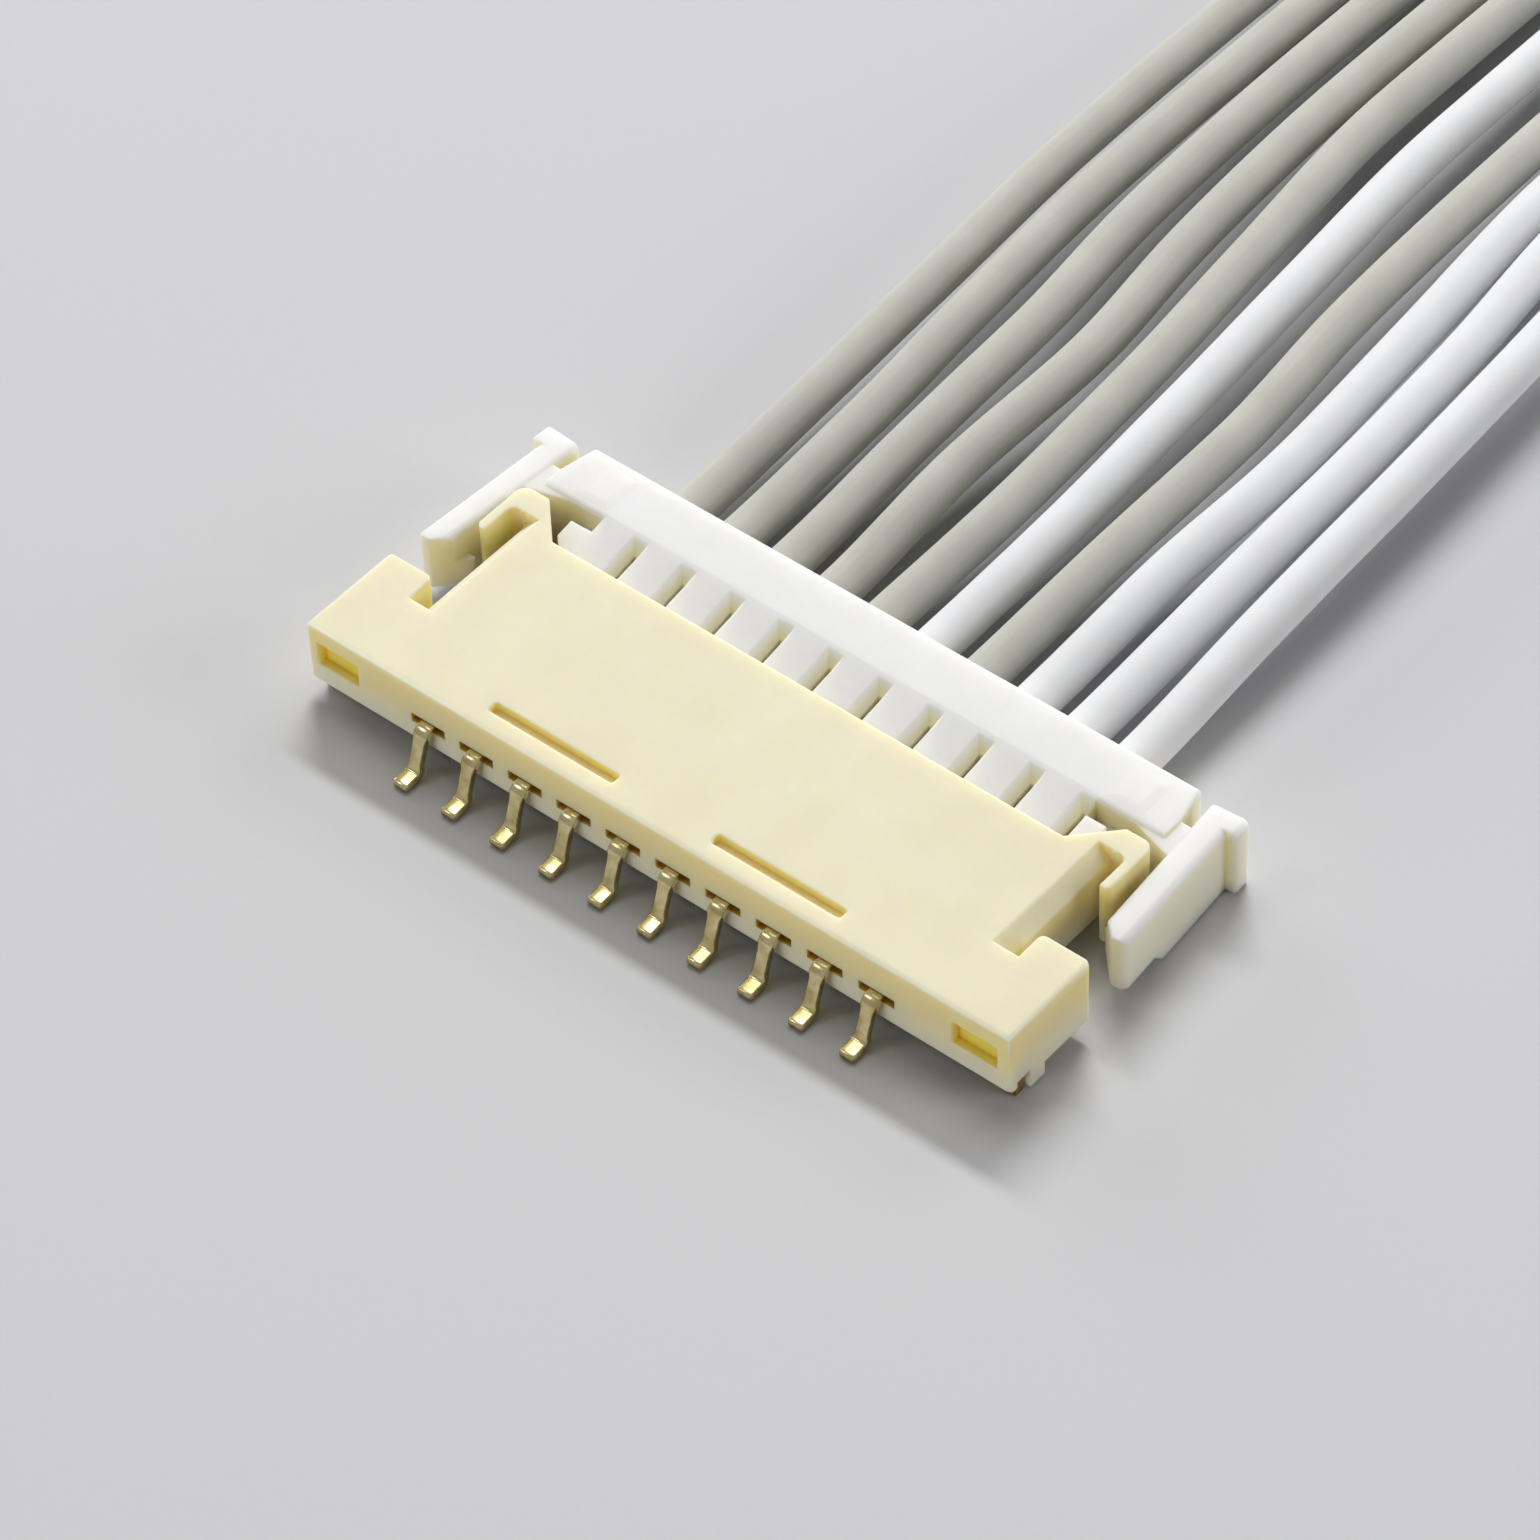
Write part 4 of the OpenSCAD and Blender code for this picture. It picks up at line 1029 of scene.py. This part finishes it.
@dataclass
class WireSet:
    """The ten wires and their stripped ends. Sizes are in millimetres, Y from the header's front face."""

    diameter: float = 0.92
    level: float = 0.705
    start: float = 6.30
    bar_rear: float = 7.47
    length: float = 64.5
    samples: int = 30
    strands: int = 7
    strand: float = 0.125
    bundle: float = 0.40
    bare: float = 2.5
    hidden: float = 0.15
    taper: float = 0.08
    tip_share: float = 0.55
    lay: float = 3.2
    jackets: tuple[Jacket, ...] = (Jacket.GREY,) * 5 + (Jacket.WHITE, Jacket.GREY) + (Jacket.WHITE,) * 3
    shares: tuple[float, ...] = (0.07, 0.13, 0.20, 0.29, 0.57, 1.00)
    heights: tuple[float, ...] = (1.03, 1.20, 1.25, 1.09, 0.51, 0.51)
    strays: tuple[tuple[float, ...], ...] = (
        (-0.02, -0.02, -0.06, -0.10, 0.10, 0.06, 0.06, 0.02, 0.02, -0.06),
        (-0.10, -0.18, -0.10, 0.02, 0.02, -0.02, 0.14, 0.18, 0.02, -0.10),
        (-0.26, -0.34, -0.38, -0.30, -0.26, -0.22, -0.10, 0.02, -0.10, -0.22),
        (-0.34, -0.38, -0.50, -0.50, -0.66, -0.50, -0.22, -0.30, -0.50, -0.46),
        (-0.22, -0.26, -0.38, -0.42, -0.54, -0.50, -0.30, -0.42, -0.54, -0.50),
        (-0.06, -0.10, -0.22, -0.34, -0.38, -0.42, -0.38, -0.42, -0.46, -0.50),
    )

    def knots(self, i: int) -> np.ndarray:
        """Give the points that a wire's route passes through.

        Args:
            i: Number of the wire, from 1.

        Returns:
            Points as rows of X, Y and Z.
        """
        home = row_places()[i - 1]
        straight = np.array([
            [home, self.start, self.level], [home, self.bar_rear + self.diameter / 2, self.level]
        ])
        shares, heights = np.array(self.shares), np.array(self.heights)
        strays = np.array(self.strays)[:, i - 1]
        free = np.stack([
            home + PITCH * strays, self.bar_rear + self.length * shares, self.diameter * heights
        ], axis=-1)
        return np.concatenate([straight, free])

    def route(self, i: int) -> tuple[np.ndarray, np.ndarray]:
        """Draw a smooth line through the knots.

        Between two knots X and Z are cubic in Y. The slope at a knot is the harmonic mean of the slopes on
        its two sides, and level where they differ in sign, so the line never swings past a knot.

        Args:
            i: Number of the wire, from 1.

        Returns:
            Points as rows of X, Y and Z, and the slope of X and Z against Y at each.
        """
        knots = self.knots(i)
        y, values = knots[:, 1], knots[:, [0, 2]]
        gap = np.diff(y)[:, None]
        rise = np.diff(values, axis=0) / gap
        same = rise[:-1] * rise[1:] > 0
        safe = np.where(same, rise[:-1] * rise[1:], 1.0)
        total = np.where(same, rise[:-1] + rise[1:], 1.0)
        slope = np.concatenate([rise[:1], np.where(same, 2 * safe / total, 0.0), np.zeros((1, 2))])
        at = np.concatenate([[y[0]], np.linspace(y[1], y[-1], self.samples)])
        cell = np.clip(np.searchsorted(y, at, side="right") - 1, 0, len(y) - 2)
        span = gap[cell]
        t = ((at - y[cell])[:, None]) / span
        low, climb = values[cell], values[cell + 1] - values[cell]
        leave, reach = slope[cell] * span, slope[cell + 1] * span
        square, cube = 3 * climb - 2 * leave - reach, leave + reach - 2 * climb
        point = low + t * (leave + t * (square + t * cube))
        tilt = (leave + t * (2 * square + 3 * t * cube)) / span
        return np.stack([point[:, 0], at, point[:, 1]], axis=-1), tilt

    def jacket_curve(self, i: int, front: float) -> tuple[Curve, np.ndarray]:
        """Make a wire's insulation as one open curve with round section.

        Args:
            i: Number of the wire, from 1.
            front: The header's front face, in metres.

        Returns:
            The curve, and its points in metres.
        """
        points, tilt = self.route(i)
        ahead = np.stack([tilt[:, 0], np.ones(len(tilt)), tilt[:, 1]], axis=-1)
        step = np.gradient(points[:, 1])[:, None] / 3.0
        shift = np.array([0.0, front / MM, 0.0])
        curve = bpy.data.curves.new(f"wire_jacket_{i}", "CURVE")
        curve.dimensions = "3D"
        curve.bevel_depth = self.diameter / 2 * MM
        curve.bevel_resolution = 6
        curve.resolution_u = 4
        curve.use_fill_caps = True
        spline = curve.splines.new("BEZIER")
        spline.bezier_points.add(len(points) - 1)
        spline.bezier_points.foreach_set("co", ((points + shift) * MM).ravel())
        for side, sign in (("handle_left", -1.0), ("handle_right", 1.0)):
            spline.bezier_points.foreach_set(side, ((points + sign * step * ahead + shift) * MM).ravel())
        return curve, (points + shift) * MM

    def strand_mesh(self, i: int, end: np.ndarray) -> Mesh:
        """Twist seven tinned strands out of a wire's far end.

        One strand runs along the axis. The other six wind round it on a helix: the angle grows evenly with
        the distance along Y. Each is a tube whose far end is drawn in.

        Args:
            i: Number of the wire, from 1.
            end: Middle of the wire's cut face, in metres.

        Returns:
            The strands as one mesh.
        """
        count, rings, sides = self.strands, 28, 10
        along = np.linspace(-self.hidden, self.bare, rings)
        number = np.arange(count)
        orbit = np.where(number == 0, 0.0, (self.bundle - self.strand) / 2)
        tip = np.clip((self.bare - along) / self.taper, 0.0, 1.0)
        turn = 2 * math.pi * (number[:, None] / (count - 1) + along / self.lay)
        thin = self.strand / 2 * (self.tip_share + (1 - self.tip_share) * np.sqrt(tip))
        around = np.linspace(0.0, 2 * math.pi, sides, endpoint=False)
        centre_x = orbit[:, None] * np.cos(turn)
        centre_z = orbit[:, None] * np.sin(turn)
        x = centre_x[..., None] + thin[None, :, None] * np.cos(around)
        z = centre_z[..., None] + thin[None, :, None] * np.sin(around)
        y = np.broadcast_to(along[None, :, None], x.shape)
        grid = np.stack([x, y, z], axis=-1) * MM + end
        return tube_mesh(f"bare_strands_{i}", grid, turned=True)

    def build(self, shaders: Shaders) -> list[Object]:
        """Make the ten wires with their bare ends.

        Args:
            shaders: Maker of the materials.

        Returns:
            The wires and the bare ends.
        """
        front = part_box("header_housing")[0].y
        made = []
        for i, jacket in enumerate(self.jackets, start=1):
            curve, points = self.jacket_curve(i, front)
            wire = place(f"wire_jacket_{i}", curve, Body.PLUG, shaders.jacket(JACKETS[jacket]))
            mesh = self.strand_mesh(i, points[-1])
            strands = place(f"bare_strands_{i}", mesh, Body.PLUG, shaders.metal(STRANDS))
            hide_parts(f"wire_{i}")
            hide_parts(f"stripped_end_{i}")
            made += [wire, strands]
        return made


@dataclass
class MetalNodes:
    """Hold-downs and crimp terminals: the CAD shapes in their metals, the hold-downs with eased edges."""

    edge: float = 0.02
    segments: int = 2
    sharp: float = 40.0
    tabs: tuple[str, ...] = ("left_hold_down", "right_hold_down")

    def ease(self, shown: Object) -> None:
        """Ease the sharp edges of a CAD node with modifiers.

        Args:
            shown: The node.
        """
        weld = shown.modifiers.new("merged", "WELD")
        weld.merge_threshold = WELD
        bevel = shown.modifiers.new("eased", "BEVEL")
        bevel.width = self.edge * MM
        bevel.segments = self.segments
        bevel.limit_method = "ANGLE"
        bevel.angle_limit = math.radians(self.sharp)
        bevel.use_clamp_overlap = False
        bevel.harden_normals = True

    def build(self, shaders: Shaders) -> list[Object]:
        """Dress the nodes.

        Args:
            shaders: Maker of the materials.

        Returns:
            The nodes.
        """
        tabs = [dress_node(node, shaders.metal(TAB)) for node in self.tabs]
        for tab in tabs:
            self.ease(tab)
        return tabs + [dress_node(f"crimp_terminal_{i}", shaders.metal(TERMINAL)) for i in range(1, WAYS + 1)]


@dataclass(frozen=True)
class Lamp:
    """A soft lamp of the studio. Lengths are in millimetres.

    Args:
        name: Name of the lamp.
        way: Direction from the part to the lamp.
        far: Distance from the part.
        wide: Size along the row of contacts.
        tall: Size across it.
        power: Power, in watts.
        gloss: Whether shiny pieces mirror it.
    """

    name: str
    way: Point
    far: float
    wide: float
    tall: float
    power: float
    gloss: bool = True


LAMPS = (
    Lamp("key", (-0.397, 0.590, 0.703), 700.0, 380.0, 76.0, 3.02),
    Lamp("over", (-0.300, 0.300, 0.905), 600.0, 320.0, 320.0, 0.86),
    Lamp("right", (0.810, 0.470, 0.340), 700.0, 360.0, 360.0, 1.36),
    Lamp("side", (-0.920, 0.200, 0.340), 700.0, 360.0, 360.0, 1.00),
    Lamp("back", (0.000, 0.850, 0.530), 700.0, 360.0, 240.0, 0.64),
    Lamp("left", (-0.500, -0.400, 0.770), 700.0, 170.0, 170.0, 0.284),
    Lamp("front", (-0.100, -0.980, 0.120), 800.0, 520.0, 160.0, 1.90, False),
)


@dataclass
class Studio:
    """Camera, table and lights. Lengths are in millimetres, angles in degrees."""

    azimuth: float = 41.408
    elevation: float = 46.972
    roll: float = 2.501
    distance: float = 125.737
    focal: float = 6607.0
    frame_size: float = 1540.0
    centre: tuple[float, float] = (645.359, 825.750)
    sensor: float = 36.0
    sky: float = 0.05
    backdrop: float = 0.80
    mirrored: float = 0.40
    reach: float = 3000.0
    table: Colour = srgb(210, 210, 212)

    def camera(self) -> None:
        """Set the camera where the photograph was taken from.

        The header's front top edge, at the row's middle, lies at the given pixel, and the camera stands back
        from it by the distance along its own axis.
        """
        a, e, r = (math.radians(v) for v in (self.azimuth, self.elevation, self.roll))
        back = Vector((math.sin(a) * math.cos(e), -math.cos(a) * math.cos(e), math.sin(e)))
        right = Vector((math.cos(a), math.sin(a), 0.0))
        up = back.cross(right)
        across = right * math.cos(r) - up * math.sin(r)
        above = right * math.sin(r) + up * math.cos(r)
        half = self.frame_size / 2
        sideways = (self.centre[0] - half) / self.focal * self.distance
        lift = (half - self.centre[1]) / self.focal * self.distance
        low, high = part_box("header_housing")
        anchor = Vector((0.0, low.y, high.z))
        spot = anchor + (back * self.distance - across * sideways - above * lift) * MM
        data = bpy.data.cameras.new("photo_camera")
        data.sensor_width = self.sensor
        data.lens = self.sensor * self.focal / self.frame_size
        data.clip_start, data.clip_end = 0.005, 20.0
        camera = bpy.data.objects.new("photo_camera", data)
        turn = Matrix((across, above, back)).transposed().to_4x4()
        camera.matrix_world = Matrix.Translation(spot) @ turn
        bpy.context.scene.collection.objects.link(camera)
        bpy.context.scene.camera = camera

    def floor(self, shaders: Shaders) -> None:
        """Lay a wide pale table under the part.

        Args:
            shaders: Maker of the materials.
        """
        mesh = bpy.data.meshes.new("table_top")
        square = np.array([[-1, -1, 0], [1, -1, 0], [1, 1, 0], [-1, 1, 0]]) * self.reach * MM
        mesh.from_pydata(square.tolist(), [], [[0, 1, 2, 3]])
        floor = bpy.data.objects.new("table_top", mesh)
        bpy.context.scene.collection.objects.link(floor)
        mesh.materials.append(shaders.paper(self.table))

    @staticmethod
    def hang(lamp: Lamp) -> None:
        """Hang an oval lamp that faces the part, its long side along the row of contacts.

        Args:
            lamp: The lamp's values.
        """
        toward = Vector(lamp.way).normalized()
        along = (Vector((1.0, 0.0, 0.0)) - toward * toward.x).normalized()
        data = bpy.data.lights.new(lamp.name, "AREA")
        data.shape = "ELLIPSE"
        data.size = lamp.wide * MM
        data.size_y = lamp.tall * MM
        data.energy = lamp.power
        hung = bpy.data.objects.new(lamp.name, data)
        hung.visible_glossy = lamp.gloss
        turn = Matrix((along, toward.cross(along), toward)).transposed().to_4x4()
        hung.matrix_world = Matrix.Translation(toward * lamp.far * MM) @ turn
        bpy.context.scene.collection.objects.link(hung)

    def light(self) -> None:
        """Hang the lamps under a pale sky."""
        for lamp in LAMPS:
            self.hang(lamp)
        world = bpy.data.worlds.new("pale_room")
        bpy.context.scene.world = world
        world.use_nodes = True
        sky = Wiring(world.node_tree)
        sky.tree.nodes.clear()
        rays = sky.tree.nodes.new("ShaderNodeLightPath").outputs
        shiny = sky.maths("ADD", rays["Is Glossy Ray"], rays["Is Transmission Ray"], clamp=True)
        unseen = sky.ramp(shiny, self.sky, self.mirrored)
        seen = sky.maths("MULTIPLY", rays["Is Camera Ray"], self.backdrop)
        strength = sky.maths("MAXIMUM", seen, unseen)
        glow = sky.add("ShaderNodeBackground", {"Color": (1.0, 1.0, 1.0), "Strength": strength})
        sky.add("ShaderNodeOutputWorld", {"Surface": glow.outputs["Background"]})
        bpy.context.scene.view_settings.view_transform = "Standard"


def main() -> None:
    """Build the connector's pieces in order, then the studio."""
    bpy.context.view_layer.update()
    shaders = Shaders()
    studio = Studio()
    studio.camera()
    log.info("camera set")
    header = Moulding("header_housing", "header_shell", Body.HEADER, CREAM, "header_plastic", HEADER_HOLLOWS)
    plug = Moulding("plug_housing", "plug_shell", Body.PLUG, WHITE, "plug_plastic", PLUG_HOLLOWS, edge=0.025)
    for maker in (WireSet(), HeaderContacts(), header, plug, MetalNodes()):
        for piece in maker.build(shaders):
            log.info("%s: %s", type(maker).__name__, piece.name)
    studio.floor(shaders)
    studio.light()


if __name__ == "__main__":
    main()
